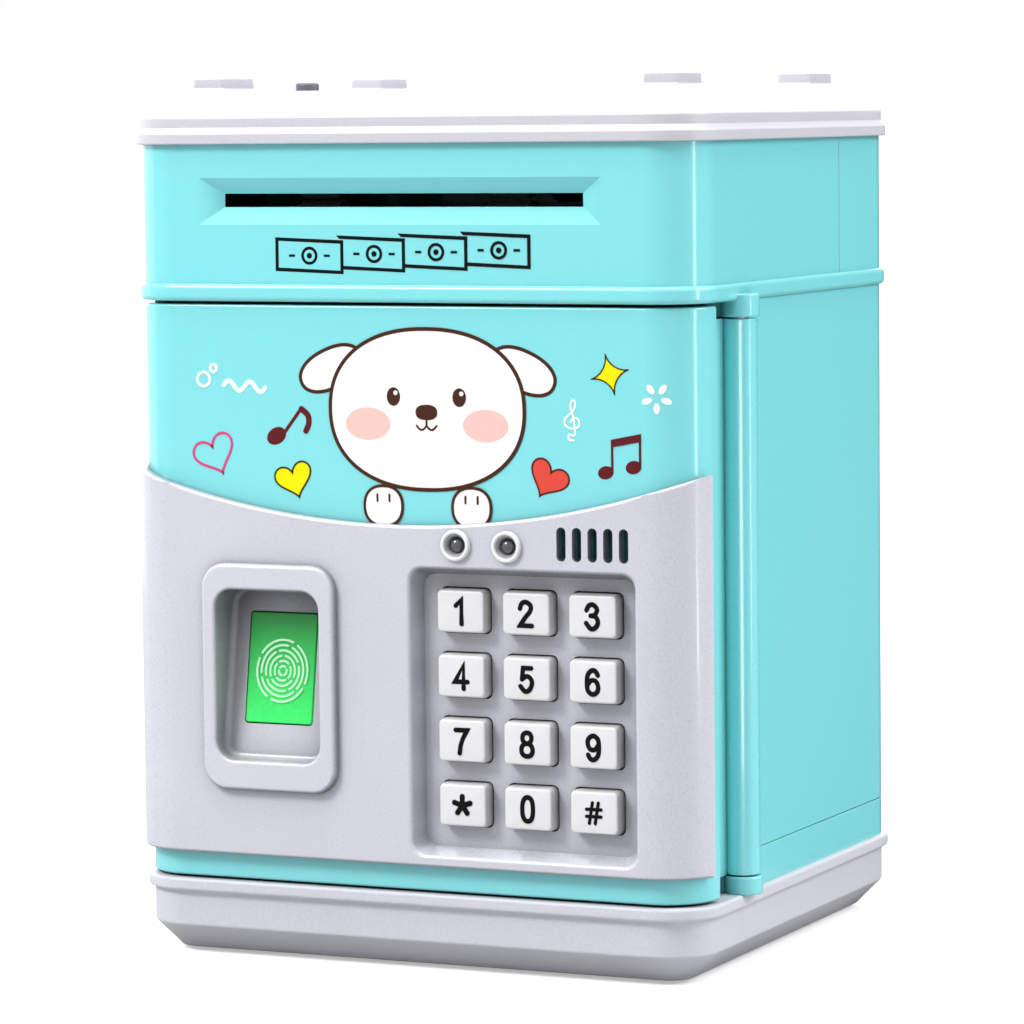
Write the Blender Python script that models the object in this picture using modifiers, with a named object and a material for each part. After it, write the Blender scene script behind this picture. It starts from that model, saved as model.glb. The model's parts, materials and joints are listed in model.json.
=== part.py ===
"""Toy cash machine savings bank: a plastic money box with a keypad door, a note feeder and a coin slot.

The origin is the centre of the footprint on the resting plane. +Z is up, the door faces -Y and its hinge
is on the +X side. The script works in metres; sizes are written as millimetres times MM.
"""

import math

import bmesh
import bpy
from mathutils import Matrix, Vector

MM = 0.001
GAP = 0.3 * MM  # clearance between pieces that rest against each other
RUNNING = 0.06 * MM  # radial clearance of a shaft in its hole
FAR = 80 * MM  # reach of a cutter that has to pass the whole body
OVERRUN = 0.2 * MM  # how far in front of a surface a tapered cutter starts

# Cabinet outline seen from above, as half sizes.
BODY_X = 65.7 * MM
BODY_Y = 59.3 * MM
BODY_RADIUS = 11.2 * MM
FLANGE_X = 67.1 * MM
FLANGE_Y = 60.7 * MM
FLANGE_RADIUS = 12.4 * MM
RIDGE_X = 66.7 * MM
RIDGE_Y = 60.3 * MM
RIDGE_RADIUS = 12.1 * MM
WALL = 2.4 * MM

# Levels above the resting plane.
BASE_BOTTOM = 0.8 * MM
BASE_FLOOR_TOP = 3.3 * MM
BASE_CHAMFER = 5.8 * MM
BASE_FLANGE_LOW = 14.2 * MM
BASE_TOP = 17.0 * MM
SILL_LOW = 17.3 * MM
SILL_TOP = 24.9 * MM
CASH_FLOOR_LOW = 20.0 * MM
CASH_FLOOR_TOP = 22.0 * MM
SHELL_LOW = 25.2 * MM
SHELL_TOP = 140.9 * MM
RIDGE_LOW = 141.2 * MM
RIDGE_TOP = 144.8 * MM
UPPER_LOW = 145.1 * MM
UPPER_TOP = 174.1 * MM
LID_LOW = 174.4 * MM
LID_FLANGE_TOP = 176.9 * MM
LID_TOP = 185.5 * MM
LID_CHAMFER = 5.5 * MM
LID_TIER_X = 66.0 * MM
LID_TIER_Y = 59.4 * MM
LID_WALL = 2.2 * MM
BLOCK_TOP = 188.5 * MM
UPPER_SPLIT_Y = 24.6 * MM  # seam between the front and rear halves of the upper housing
DROP_LOW = (-42 * MM, -34 * MM)  # opening in the deck that money drops through
DROP_HIGH = (38 * MM, 9 * MM)
CABLE_CORNER = (56 * MM, 48 * MM)  # where the wire harness runs up
CABLE_HOLE_RADIUS = 2 * MM
SILL_BAR_BACK_Y = -42.8 * MM
SILL_POST_X = (58.5 * MM, 60.9 * MM)
SILL_TIE_BACK_Y = -27.7 * MM

# Door and its hinge.
HINGE_X = 65.6 * MM
HINGE_Y = -34.2 * MM
BARREL_RADIUS = 3.7 * MM
LUG_RADIUS = 4.15 * MM
LUG_HEIGHT = 3.4 * MM
PIN_RADIUS = 1.5 * MM
PIN_DEPTH = 9.0 * MM
DOOR_LOW = 17.5 * MM
DOOR_TOP = 140.6 * MM
DOOR_WALL = 2.2 * MM
DOOR_BACK_Y = -47.4 * MM
RIGHT_WALL_FRONT_Y = -29.7 * MM
LEFT_WALL_FRONT_Y = -47.0 * MM
WEB_X = (61.6 * MM, 63.9 * MM)
WEB_FRONT_Y = -49.0 * MM
OPENING_BACK_Y = -54.4 * MM  # how far back the cutters for the door's openings reach

# Faceplate over the lower part of the door.
PLATE_X = 67.5 * MM
PLATE_FRONT_Y = -61.8 * MM
PLATE_RADIUS = 12.6 * MM
PLATE_THICK = 2.2 * MM
PLATE_SIDE_THICK = 1.5 * MM
PLATE_BACK_Y = -52.3 * MM
PLATE_LOW = 23.0 * MM
PLATE_ARC_RADIUS = 200 * MM
PLATE_ARC_LOWEST = 94.8 * MM
PLATE_OPENING_BACK_Y = -58.4 * MM

# Keypad.
KEYPAD_LOW = (1.9 * MM, 25.9 * MM)
KEYPAD_HIGH = (52.8 * MM, 85.6 * MM)
KEYPAD_RADIUS = 3.5 * MM
KEYPAD_FLOOR_Y = -57.3 * MM
KEYPAD_WALL_SLOPE = 1.5 * MM
KEYPAD_FLOOR_THICK = 1.5 * MM
KEY_X = (13 * MM, 28 * MM, 43 * MM)
KEY_Z = (77.0 * MM, 63.4 * MM, 49.8 * MM, 36.2 * MM)
KEY_NAMES = (("1", "2", "3"), ("4", "5", "6"), ("7", "8", "9"), ("star", "0", "hash"))
KEY_SIZE = (11.1 * MM, 9.2 * MM)
KEY_FRONT_Y = -60.4 * MM
KEY_BACK_Y = -54.7 * MM
KEY_FLANGE = 0.7 * MM
KEY_FLANGE_THICK = 0.8 * MM
MEMBRANE_LOW = (3.5 * MM, 28 * MM)
MEMBRANE_HIGH = (52 * MM, 84 * MM)
MEMBRANE_Y = (-53.2 * MM, -51.8 * MM)
BOARD_LOW = (-48 * MM, 26 * MM)
BOARD_HIGH = (54 * MM, 86.4 * MM)
BOARD_Y = (-51.4 * MM, -49.9 * MM)

# Indicator lamps and loudspeaker grille.
LAMP_X = (12.85 * MM, 24.5 * MM)
LAMP_Z = 91.0 * MM
LAMP_RADIUS = 2.25 * MM
LAMP_COLLAR_RADIUS = 3.25 * MM
GRILLE_SLOTS = 5
GRILLE_X = 43.75 * MM
GRILLE_PITCH = 3.5 * MM
GRILLE_SLOT = (2.1 * MM, 7.1 * MM)
GRILLE_Z = 91.85 * MM
SPEAKER_RADIUS = 10 * MM
SPEAKER_PLACE = (43.25 * MM, -50.8 * MM, 98.4 * MM)

# Fingerprint reader: its floor leans back towards the top.
READER_LOW = (-46.7 * MM, 37.1 * MM)
READER_HIGH = (-15.1 * MM, 85.8 * MM)
READER_RADIUS = 5.5 * MM
READER_FRONT_Y = -63.6 * MM
POCKET_LOW = (-43.4 * MM, 43.6 * MM)
POCKET_HIGH = (-18.8 * MM, 80.1 * MM)
POCKET_RADIUS = 4 * MM
READER_WALL = 1.5 * MM
PAD_CENTRE = Vector((-31.0 * MM, -56.55 * MM, 62.95 * MM))
PAD_LEAN = math.radians(9)
PAD_SIZE = (15.7 * MM, 23.5 * MM)

# Note slot and feeder.
RECESS_LOW = (-47.7 * MM, 157.5 * MM)
RECESS_HIGH = (45.3 * MM, 167.3 * MM)
SLOT_LOW = (-42.8 * MM, 161.1 * MM)
SLOT_HIGH = (40.3 * MM, 163.95 * MM)
RECESS_FLOOR_Y = -56.8 * MM
SLOT_BACK_Y = -53.9 * MM
SLOT_FRAME = 1.0 * MM
NOTE_Z = 162.5 * MM
FEED_Y = -48.4 * MM
ROLLER_RADIUS = 5.1 * MM
ROLLER_WIDTH = 9 * MM
ROLLER_X = (-23.2 * MM, 20.8 * MM)
SHAFT_RADIUS = 1.5 * MM
FEED_Z = NOTE_Z + ROLLER_RADIUS + 0.15 * MM
IDLER_Z = NOTE_Z - ROLLER_RADIUS - 0.15 * MM
CHEEK_LEFT_X = -48.0 * MM
CHEEK_RIGHT_X = 44.0 * MM
CHEEK_THICK = 1.5 * MM
FEEDER_Y = (-53.5 * MM, -30.4 * MM)
FEEDER_TOP = 173 * MM
GEAR_MODULE = 0.7 * MM
GEAR_TEETH = 18
PINION_TEETH = 9
GEAR_X = 48.5 * MM
GEAR_THICK = 3.5 * MM
MOTOR_RADIUS = 6 * MM
MOTOR_LENGTH = 17 * MM
STEM_RADIUS = 0.9 * MM
PINION_Y = FEED_Y + GEAR_MODULE * (GEAR_TEETH + PINION_TEETH) / 2

# Coin path and push button in the lid.
COIN_SLOT = (30 * MM, 3.4 * MM)
CHUTE_WALL = 1.5 * MM
CHUTE_COLLAR = 3 * MM
BUTTON_X = -51.8 * MM
BUTTON_RADIUS = 2.6 * MM
BUTTON_TOP = 187.5 * MM
BLOCK_CENTRE = (52.6 * MM, 38.2 * MM)
BLOCK_SIZE = (7.6 * MM, 14.4 * MM)

# Battery compartment in the base.
CELL_RADIUS = 7.1 * MM
CELL_PITCH = 14.8 * MM
CELL_Z = 10.6 * MM
WELL = (22.8 * MM, 27.0 * MM, 18.2 * MM)
WELL_WALL = 1.5 * MM
CELL_LENGTH = 49.2 * MM
CONTACT_Z = (5 * MM, 16 * MM)
CONTACT_THICK = 0.5 * MM
LEDGE_MARGIN = 2.2 * MM  # how far the cover's seat reaches past the well
COVER_LOW = 0.95 * MM
TAB_Y = 33.2 * MM
TAB_HALF = 5 * MM
SCREW_HOLE_RADIUS = 1.7 * MM
FOOT_PLACE = (48 * MM, 42 * MM)
FOOT_RADIUS = 5 * MM

# Lock.
LOCK_Z = 77 * MM
LOCK_Y = -41.8 * MM
BOLT_TIP_X = -56.0 * MM
SOLENOID_X = (-44 * MM, -24 * MM)
SOLENOID_Y = (-47.2 * MM, -36.8 * MM)
SOLENOID_HALF_HEIGHT = 7 * MM
PLUNGER_RADIUS = 1.5 * MM
STRIKE_LOW = (-64.5 * MM, -46.7 * MM, LOCK_Z - 9 * MM)
STRIKE_HIGH = (-57.6 * MM, -44.3 * MM, LOCK_Z + 9 * MM)

# Cover on the back of the door.
COVER_PLATE_LOW = (-63.0 * MM, 20.1 * MM)
COVER_PLATE_HIGH = (61.2 * MM, 138.0 * MM)
COVER_PLATE_Y = (-49.3 * MM, -47.5 * MM)
COVER_SCREW_X = -55 * MM
COVER_SCREW_Y = -49.0 * MM

PARTS_NAME = "toy_savings_bank"
CUTTERS_NAME = "cutters"
CORNER_SEGMENTS = 6
ROUND_SEGMENTS = 20
SMOOTH_ANGLE = math.radians(35)
MERGE = 0.00001


def clear_scene():
    for obj in list(bpy.data.objects):
        bpy.data.objects.remove(obj, do_unlink=True)
    for name in (PARTS_NAME, CUTTERS_NAME):
        collection = bpy.data.collections.new(name)
        bpy.context.scene.collection.children.link(collection)


def linear(channel):
    return channel / 12.92 if channel <= 0.04045 else ((channel + 0.055) / 1.055) ** 2.4


def plastic(name, red, green, blue, roughness=0.35, metallic=0.0):
    """A Principled material. The colour is given as display values from 0 to 255."""
    material = bpy.data.materials.new(name)
    material.use_nodes = True
    shader = material.node_tree.nodes["Principled BSDF"]
    colour = [linear(value / 255) for value in (red, green, blue)]
    shader.inputs["Base Color"].default_value = (*colour, 1.0)
    shader.inputs["Roughness"].default_value = roughness
    shader.inputs["Metallic"].default_value = metallic
    material.diffuse_color = (*colour, 1.0)
    return material


def make_materials():
    return {
        "turquoise": plastic("turquoise", 142, 232, 235, 0.25),
        "grey": plastic("grey", 220, 220, 229, 0.45),
        "white": plastic("white", 228, 228, 230, 0.4),
        "dark": plastic("dark", 70, 72, 78, 0.4),
        "black": plastic("black", 28, 28, 30, 0.5),
        "green": plastic("green", 60, 200, 95, 0.3),
        "rubber": plastic("rubber", 52, 52, 54, 0.85),
        "steel": plastic("steel", 190, 192, 196, 0.3, 1.0),
        "board": plastic("board", 30, 96, 60, 0.5),
        "brass": plastic("brass", 200, 168, 96, 0.35, 1.0),
        "cell": plastic("cell", 60, 66, 84, 0.4),
    }


def new_object(name, mesh, material):
    """Adds a part, or a hidden helper when it has no material."""
    obj = bpy.data.objects.new(name, mesh)
    if material is None:
        bpy.data.collections[CUTTERS_NAME].objects.link(obj)
        obj.hide_render = True
        obj.display_type = "WIRE"
        return obj
    bpy.data.collections[PARTS_NAME].objects.link(obj)
    mesh.materials.append(material)
    return obj


def mesh_object(name, bm, material):
    mesh = bpy.data.meshes.new(name)
    bm.to_mesh(mesh)
    bm.free()
    mesh.shade_smooth()
    mesh.set_sharp_from_angle(angle=SMOOTH_ANGLE)
    return new_object(name, mesh, material)


def bevel(bm, edges, width, segments):
    bmesh.ops.bevel(
        bm, geom=edges, offset=width, segments=segments, profile=0.5, affect="EDGES", clamp_overlap=True
    )


def block(
    name, low, high, material=None, radius=0.0, along="Z", segments=CORNER_SEGMENTS, rim_low=0.0, rim_high=0.0
):
    """A box between two corners. The edges parallel to `along` are rounded by radius, and the end faces may
    have chamfered rims. With along="Y" the high end is the front."""
    low, high = Vector(low), Vector(high)
    turn = Matrix.Rotation(math.radians(90), 4, "X") if along == "Y" else Matrix()
    size = turn.inverted() @ (high - low)
    bm = bmesh.new()
    bmesh.ops.create_cube(bm, size=1.0, matrix=Matrix.Diagonal((*(abs(value) for value in size), 1.0)))
    if radius:
        upright = [edge for edge in bm.edges if abs(edge.verts[0].co.z - edge.verts[1].co.z) > MERGE]
        bevel(bm, upright, radius, segments)
    for width, sign in ((rim_high, 1), (rim_low, -1)):
        if width:
            end = next(face for face in bm.faces if face.normal.z * sign > 0.999)
            bevel(bm, list(end.edges), width, 1)
    bmesh.ops.transform(bm, matrix=turn, verts=bm.verts)
    obj = mesh_object(name, bm, material)
    obj.location = (low + high) / 2
    return obj


def footprint(name, half_x, half_y, z_low, z_high, radius, material=None, rim_low=0.0, rim_high=0.0):
    """An upright block centred on the origin, with rounded corners."""
    low = (-half_x, -half_y, z_low)
    high = (half_x, half_y, z_high)
    return block(name, low, high, material, radius, rim_low=rim_low, rim_high=rim_high)


def front_block(name, low, high, y_front, y_back, material=None, radius=0.0, rim=0.0, segments=3):
    """A block that faces forward, from its (x, z) corners."""
    corner_low = (low[0], y_front, low[1])
    corner_high = (high[0], y_back, high[1])
    return block(name, corner_low, corner_high, material, radius, "Y", segments, rim_high=rim)


def reshape_back(obj, place):
    """Moves the points of a front block's back face to where place(point) says, in world coordinates."""
    back = max(vertex.co.y for vertex in obj.data.vertices)
    for vertex in obj.data.vertices:
        if vertex.co.y > back - MERGE:
            vertex.co = Vector(place(vertex.co + obj.location)) - obj.location
    return obj


def funnel(name, low, high, inner_low, inner_high, y_front, y_back, radius=0.0):
    """A cutter that narrows from one (x, z) rectangle at the surface to another behind it."""
    share = OVERRUN / (y_back - y_front)
    outer_low = [wide - (narrow - wide) * share for wide, narrow in zip(low, inner_low)]
    outer_high = [wide - (narrow - wide) * share for wide, narrow in zip(high, inner_high)]
    obj = front_block(name, outer_low, outer_high, y_front - OVERRUN, y_back, radius=radius, segments=4)

    def scaled(value, index):
        share_across = (value - outer_low[index]) / (outer_high[index] - outer_low[index])
        return inner_low[index] + share_across * (inner_high[index] - inner_low[index])

    return reshape_back(obj, lambda point: (scaled(point.x, 0), point.y, scaled(point.z, 1)))


def rod(name, radius, start, end, material=None, segments=ROUND_SEGMENTS):
    """A plain cylinder between two points."""
    start, end = Vector(start), Vector(end)
    bm = bmesh.new()
    bmesh.ops.create_cone(
        bm, cap_ends=True, segments=segments, radius1=radius, radius2=radius, depth=(end - start).length
    )
    obj = mesh_object(name, bm, material)
    obj.location = (start + end) / 2
    obj.rotation_euler = (end - start).to_track_quat("Z", "Y").to_euler()
    return obj


def turned(name, profile, location, material=None, along="Z", steps=ROUND_SEGMENTS):
    """A turned piece. The profile lists (radius, height) from its top to its bottom, ending on the axis."""
    mesh = bpy.data.meshes.new(name)
    edges = [(index, index + 1) for index in range(len(profile) - 1)]
    mesh.from_pydata([(radius, 0.0, height) for radius, height in profile], edges, [])
    obj = new_object(name, mesh, material)
    screw = obj.modifiers.new("Turn", "SCREW")
    screw.steps = steps
    screw.render_steps = steps
    screw.use_merge_vertices = True
    screw.merge_threshold = MERGE
    screw.use_smooth_shade = True
    obj.location = location
    obj.rotation_euler = {
        "Z": (0, 0, 0),
        "X": (0, math.radians(90), 0),
        "-Y": (math.radians(90), 0, 0),
        "Y": (math.radians(-90), 0, 0),
    }[along]
    return obj


def boolean(obj, operation, helpers):
    for helper in helpers:
        modifier = obj.modifiers.new(helper.name, "BOOLEAN")
        modifier.operation = operation
        modifier.solver = "EXACT"
        modifier.object = helper
    return obj


def cut(obj, *helpers):
    return boolean(obj, "DIFFERENCE", helpers)


def join(obj, *helpers):
    return boolean(obj, "UNION", helpers)


def copy_of(obj, name, location):
    """Another object that shares the first one's evaluated mesh."""
    twin = bpy.data.objects.new(name, obj.data)
    bpy.data.collections[PARTS_NAME].objects.link(twin)
    twin.location = location
    twin.rotation_euler = obj.rotation_euler
    for source in obj.modifiers:
        modifier = twin.modifiers.new(source.name, source.type)
        for field in ("steps", "render_steps", "use_merge_vertices", "merge_threshold", "use_smooth_shade"):
            setattr(modifier, field, getattr(source, field))
    return twin


def freeze(obj):
    """Replaces the object's mesh by its evaluated one, so that copies can share it."""
    graph = bpy.context.evaluated_depsgraph_get()
    mesh = bpy.data.meshes.new_from_object(obj.evaluated_get(graph))
    obj.modifiers.clear()
    obj.data = mesh
    return obj


def hang_on(parent, *children):
    """Parents pieces to an empty and leaves them where they are."""
    for child in children:
        child.parent = parent
        child.matrix_parent_inverse = Matrix.Translation(parent.location).inverted()


def empty(name, location):
    obj = bpy.data.objects.new(name, None)
    bpy.data.collections[PARTS_NAME].objects.link(obj)
    obj.location = location
    obj.empty_display_size = 5 * MM
    return obj


def make_base(mats):
    """The tray that everything stands on, with the battery compartment moulded into it."""
    below_rim = BASE_TOP - 0.6 * MM
    base = footprint(
        "base_tray", BODY_X, BODY_Y, BASE_BOTTOM, below_rim, BODY_RADIUS, mats["grey"], rim_low=BASE_CHAMFER
    )
    rim = 0.7 * MM
    flange = footprint(
        "base_flange", FLANGE_X, FLANGE_Y, BASE_FLANGE_LOW, BASE_TOP, FLANGE_RADIUS, rim_low=rim, rim_high=rim
    )
    inner_radius = BODY_RADIUS - WALL
    hollow = footprint(
        "base_hollow",
        BODY_X - WALL,
        BODY_Y - WALL,
        BASE_FLOOR_TOP,
        BASE_TOP + FAR,
        inner_radius,
        rim_low=BASE_CHAMFER - 1.5 * MM,
    )
    well_x, well_y, well_top = WELL
    box_x = well_x + WELL_WALL
    box_y = well_y + WELL_WALL
    housing = block(
        "battery_housing", (-box_x, -box_y, BASE_BOTTOM + 0.4 * MM), (box_x, box_y, well_top + WELL_WALL)
    )
    boss = block("screw_boss", (-6 * MM, box_y - 1 * MM, 2.5 * MM), (6 * MM, TAB_Y + 5 * MM, 9 * MM))
    well = block("battery_well", (-well_x, -well_y, 0), (well_x, well_y, well_top))
    ledge_x = well_x + LEDGE_MARGIN
    ledge_y = well_y + LEDGE_MARGIN
    ledge = block("cover_ledge", (-ledge_x, -ledge_y, 0), (ledge_x, ledge_y, 2.15 * MM))
    tab_x = TAB_HALF + GAP
    tab_room = block("tab_room", (-tab_x, well_y - 1 * MM, 0), (tab_x, TAB_Y + 4.1 * MM, 3.2 * MM))
    screw_hole = rod("screw_hole", SCREW_HOLE_RADIUS, (0, TAB_Y, 0), (0, TAB_Y, 8 * MM), segments=12)
    join(base, flange)
    cut(base, hollow)
    join(base, housing, boss)
    cut(base, well, ledge, tab_room, screw_hole)
    for side in (-1, 1):
        for end in (-1, 1):
            x = side * FOOT_PLACE[0]
            y = end * FOOT_PLACE[1]
            seat = rod(f"foot_seat_{side}_{end}", FOOT_RADIUS + GAP, (x, y, 0), (x, y, 2.4 * MM), segments=20)
            cut(base, seat)


def make_feet(mats):
    top = 2.1 * MM
    rim = 0.5 * MM
    profile = [(0, top), (FOOT_RADIUS, top), (FOOT_RADIUS, rim), (FOOT_RADIUS - rim, 0), (0, 0)]
    first = None
    for end, x_sign, y_sign in (
        ("front_left", -1, -1), ("front_right", 1, -1), ("rear_left", -1, 1), ("rear_right", 1, 1)
    ):
        place = (x_sign * FOOT_PLACE[0], y_sign * FOOT_PLACE[1], 0)
        if first is None:
            first = turned("foot_" + end, profile, place, mats["rubber"], steps=20)
        else:
            copy_of(first, "foot_" + end, place)


def make_batteries(mats):
    end = CELL_LENGTH / 2
    edge = 0.6 * MM
    knob_radius = 2.7 * MM
    knob_top = end + 1.2 * MM
    profile = [
        (0, knob_top),
        (knob_radius, knob_top),
        (knob_radius, end),
        (CELL_RADIUS - edge, end),
        (CELL_RADIUS, end - edge),
        (CELL_RADIUS, -end + edge),
        (CELL_RADIUS - edge, -end),
        (0, -end),
    ]
    for index, along in enumerate(("Y", "-Y", "Y")):
        x = (index - 1) * CELL_PITCH
        turned(f"battery_cell_{index + 1}", profile, (x, 0, CELL_Z), mats["cell"], along, steps=16)
    for name, sign in (("battery_contact_front", -1), ("battery_contact_rear", 1)):
        y_far = sign * (WELL[1] - 0.25 * MM)
        y_near = y_far - sign * CONTACT_THICK
        low = (-WELL[0] + 1 * MM, min(y_far, y_near), CONTACT_Z[0])
        high = (WELL[0] - 1 * MM, max(y_far, y_near), CONTACT_Z[1])
        plate = block(name, low, high, mats["steel"])
        for index in range(3):
            x = (index - 1) * CELL_PITCH
            start = (x, y_near + sign * 0.2 * MM, CELL_Z)
            end = (x, y_near - sign * 0.2 * MM, CELL_Z)
            join(plate, rod(f"{name}_dimple_{index}", 2.2 * MM, start, end, segments=10))


def make_battery_cover(mats):
    """The cover in the bottom, with its captive screw. Its parent empty is where it leaves the base."""
    axis = empty("battery_cover_slide", (0, 0, BASE_BOTTOM))
    lip_x = WELL[0] + LEDGE_MARGIN - GAP
    lip_y = WELL[1] + LEDGE_MARGIN - GAP
    lip_low = (-lip_x, -lip_y, COVER_LOW)
    lip_high = (lip_x, lip_y, 1.9 * MM)
    cover = block("battery_cover", lip_low, lip_high, mats["grey"], radius=1 * MM, segments=2)
    plug_x = WELL[0] - GAP
    plug_y = WELL[1] - GAP
    plug = block("cover_plug", (-plug_x, -plug_y, 1.4 * MM), (plug_x, plug_y, 3.1 * MM))
    tab = block("cover_tab", (-TAB_HALF, plug_y - 4 * MM, 1.7 * MM), (TAB_HALF, TAB_Y + 3.8 * MM, 2.9 * MM))
    hole = rod("cover_screw_hole", SCREW_HOLE_RADIUS, (0, TAB_Y, 0), (0, TAB_Y, 5 * MM), segments=12)
    join(cover, plug, tab)
    cut(cover, hole)
    profile = [(0, 7.4), (0.9, 7.4), (1.4, 6.4), (1.4, 1.6), (2.6, 1.6), (2.6, 0.9), (0, 0.9)]
    profile = [(radius * MM, height * MM) for radius, height in profile]
    screw = turned("battery_cover_screw", profile, (0, TAB_Y, 0), mats["steel"], steps=12)
    slot = block("screw_slot", (-2 * MM, TAB_Y - 0.3 * MM, 0), (2 * MM, TAB_Y + 0.3 * MM, 1.25 * MM))
    cut(screw, slot)
    hang_on(axis, cover, screw)


def make_sill(mats):
    """The band between the base and the cabinet walls, with the lower hinge lug."""
    sill = footprint("sill_frame", BODY_X, BODY_Y, SILL_LOW, SILL_TOP, BODY_RADIUS, mats["turquoise"])
    post_left, post_right = SILL_POST_X
    lug_top = SILL_LOW + LUG_HEIGHT
    wall_x = BODY_X - WALL / 2
    clear_front = block("sill_front", (-FAR, -FAR, 0), (FAR, LEFT_WALL_FRONT_Y, FAR))
    clear_corner = block("sill_corner", (post_right, -FAR, 0), (FAR, RIGHT_WALL_FRONT_Y, FAR))
    inside = footprint("sill_inside", BODY_X - WALL, BODY_Y - WALL, 0, FAR, BODY_RADIUS - WALL)
    bar_low = (-wall_x, LEFT_WALL_FRONT_Y, SILL_LOW)
    bar = block("sill_front_bar", bar_low, (post_right, SILL_BAR_BACK_Y, SILL_TOP))
    post = block("sill_post", (post_left, SILL_BAR_BACK_Y - 0.6 * MM, SILL_LOW), (post_right, -28.4 * MM, SILL_TOP))
    tie = block("sill_tie", (post_left, RIGHT_WALL_FRONT_Y, SILL_LOW), (wall_x, SILL_TIE_BACK_Y, SILL_TOP))
    lug = rod("sill_lug", LUG_RADIUS, (HINGE_X, HINGE_Y, SILL_LOW), (HINGE_X, HINGE_Y, lug_top), segments=28)
    web_low = (post_left, HINGE_Y - 2.4 * MM, SILL_LOW)
    lug_web = block("sill_lug_web", web_low, (HINGE_X, HINGE_Y + 5 * MM, lug_top))
    pin_hole = hinge_hole("sill_pin_hole", 0, lug_top + 1 * MM)
    cut(sill, clear_front, clear_corner, inside)
    join(sill, bar, post, tie, lug_web, lug)
    cut(sill, pin_hole)


def hinge_hole(name, z_low, z_high):
    return rod(name, PIN_RADIUS + RUNNING, (HINGE_X, HINGE_Y, z_low), (HINGE_X, HINGE_Y, z_high), segments=24)


def make_cash_floor(mats):
    """The bottom of the money compartment, inside the sill band."""
    inset = WALL + GAP
    half_x = BODY_X - inset
    half_y = BODY_Y - inset
    radius = BODY_RADIUS - inset
    floor = footprint("cash_floor", half_x, half_y, CASH_FLOOR_LOW, CASH_FLOOR_TOP, radius, mats["grey"])
    front = block("floor_front", (-FAR, -FAR, 0), (FAR, SILL_BAR_BACK_Y + GAP, FAR))
    corner = block("floor_corner", (SILL_POST_X[0] - GAP, -FAR, 0), (FAR, SILL_TIE_BACK_Y + GAP, FAR))
    cut(floor, front, corner, cable_hole("floor_cable_hole", 0, FAR))


def cable_hole(name, z_low, z_high):
    start = (*CABLE_CORNER, z_low)
    return rod(name, CABLE_HOLE_RADIUS, start, (*CABLE_CORNER, z_high), segments=12)


def make_body_shell(mats):
    """Left, rear and right walls in one moulding, open at the front, with the lock strike on the left."""
    shell = footprint("body_shell", BODY_X, BODY_Y, SHELL_LOW, SHELL_TOP, BODY_RADIUS, mats["turquoise"])
    inside = footprint("shell_inside", BODY_X - WALL, BODY_Y - WALL, 0, 2 * FAR, BODY_RADIUS - WALL)
    front = block("shell_front", (-FAR, -FAR, 0), (FAR, LEFT_WALL_FRONT_Y, 2 * FAR))
    corner = block("shell_corner", (40 * MM, -FAR, 0), (FAR, RIGHT_WALL_FRONT_Y, 2 * FAR))
    cut(shell, inside, front, corner)
    join(shell, block("lock_strike", STRIKE_LOW, STRIKE_HIGH))


def make_deck(mats):
    """The plate between cabinet and upper housing. Its edge is the belt round the body; it has the upper
    hinge lug below and the opening that money drops through."""
    rim = 0.8 * MM
    deck = footprint(
        "deck_plate", RIDGE_X, RIDGE_Y, RIDGE_LOW, RIDGE_TOP, RIDGE_RADIUS, mats["turquoise"], rim_high=rim
    )
    drop = block("drop_opening", (*DROP_LOW, FAR), (*DROP_HIGH, 2 * FAR), radius=3 * MM, segments=3)
    lug_low = RIDGE_LOW - LUG_HEIGHT
    lug_top = RIDGE_LOW + 1 * MM
    lug = rod("deck_lug", LUG_RADIUS, (HINGE_X, HINGE_Y, lug_low), (HINGE_X, HINGE_Y, lug_top), segments=28)
    pin_hole = hinge_hole("deck_pin_hole", lug_low - 1 * MM, lug_top + 0.2 * MM)
    join(deck, lug)
    cut(deck, drop, cable_hole("deck_cable_hole", FAR, 2 * FAR), pin_hole)


def make_hinge_pins(mats):
    """Two short steel pins that the door turns on."""
    low_end = SILL_LOW + 0.4 * MM
    high_end = RIDGE_LOW + 0.9 * MM
    barrel_low, barrel_top = barrel_ends()
    for name, start, end in (
        ("hinge_pin_bottom", low_end, barrel_low + PIN_DEPTH - 1 * MM),
        ("hinge_pin_top", barrel_top - PIN_DEPTH + 1 * MM, high_end),
    ):
        rod(name, PIN_RADIUS, (HINGE_X, HINGE_Y, start), (HINGE_X, HINGE_Y, end), mats["steel"])


def barrel_ends():
    return SILL_LOW + LUG_HEIGHT + GAP, RIDGE_LOW - LUG_HEIGHT - GAP


def make_upper_housing(mats):
    """The housing above the belt, in a front and a rear half. The front one has the note slot."""
    front = housing_half("upper_housing_front", UPPER_SPLIT_Y - GAP / 2, FAR, mats)
    housing_half("upper_housing_rear", -FAR, UPPER_SPLIT_Y + GAP / 2, mats)
    frame_low = (RECESS_LOW[0] - SLOT_FRAME, RECESS_LOW[1] - SLOT_FRAME)
    frame_high = (RECESS_HIGH[0] + SLOT_FRAME, RECESS_HIGH[1] + SLOT_FRAME)
    slot_frame = front_block("slot_frame", frame_low, frame_high, -BODY_Y + 1 * MM, SLOT_BACK_Y)
    recess = funnel("slot_recess", RECESS_LOW, RECESS_HIGH, SLOT_LOW, SLOT_HIGH, -BODY_Y, RECESS_FLOOR_Y)
    slot = front_block("note_slot", SLOT_LOW, SLOT_HIGH, -FAR, FEED_Y)
    join(front, slot_frame)
    cut(front, recess, slot)


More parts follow.
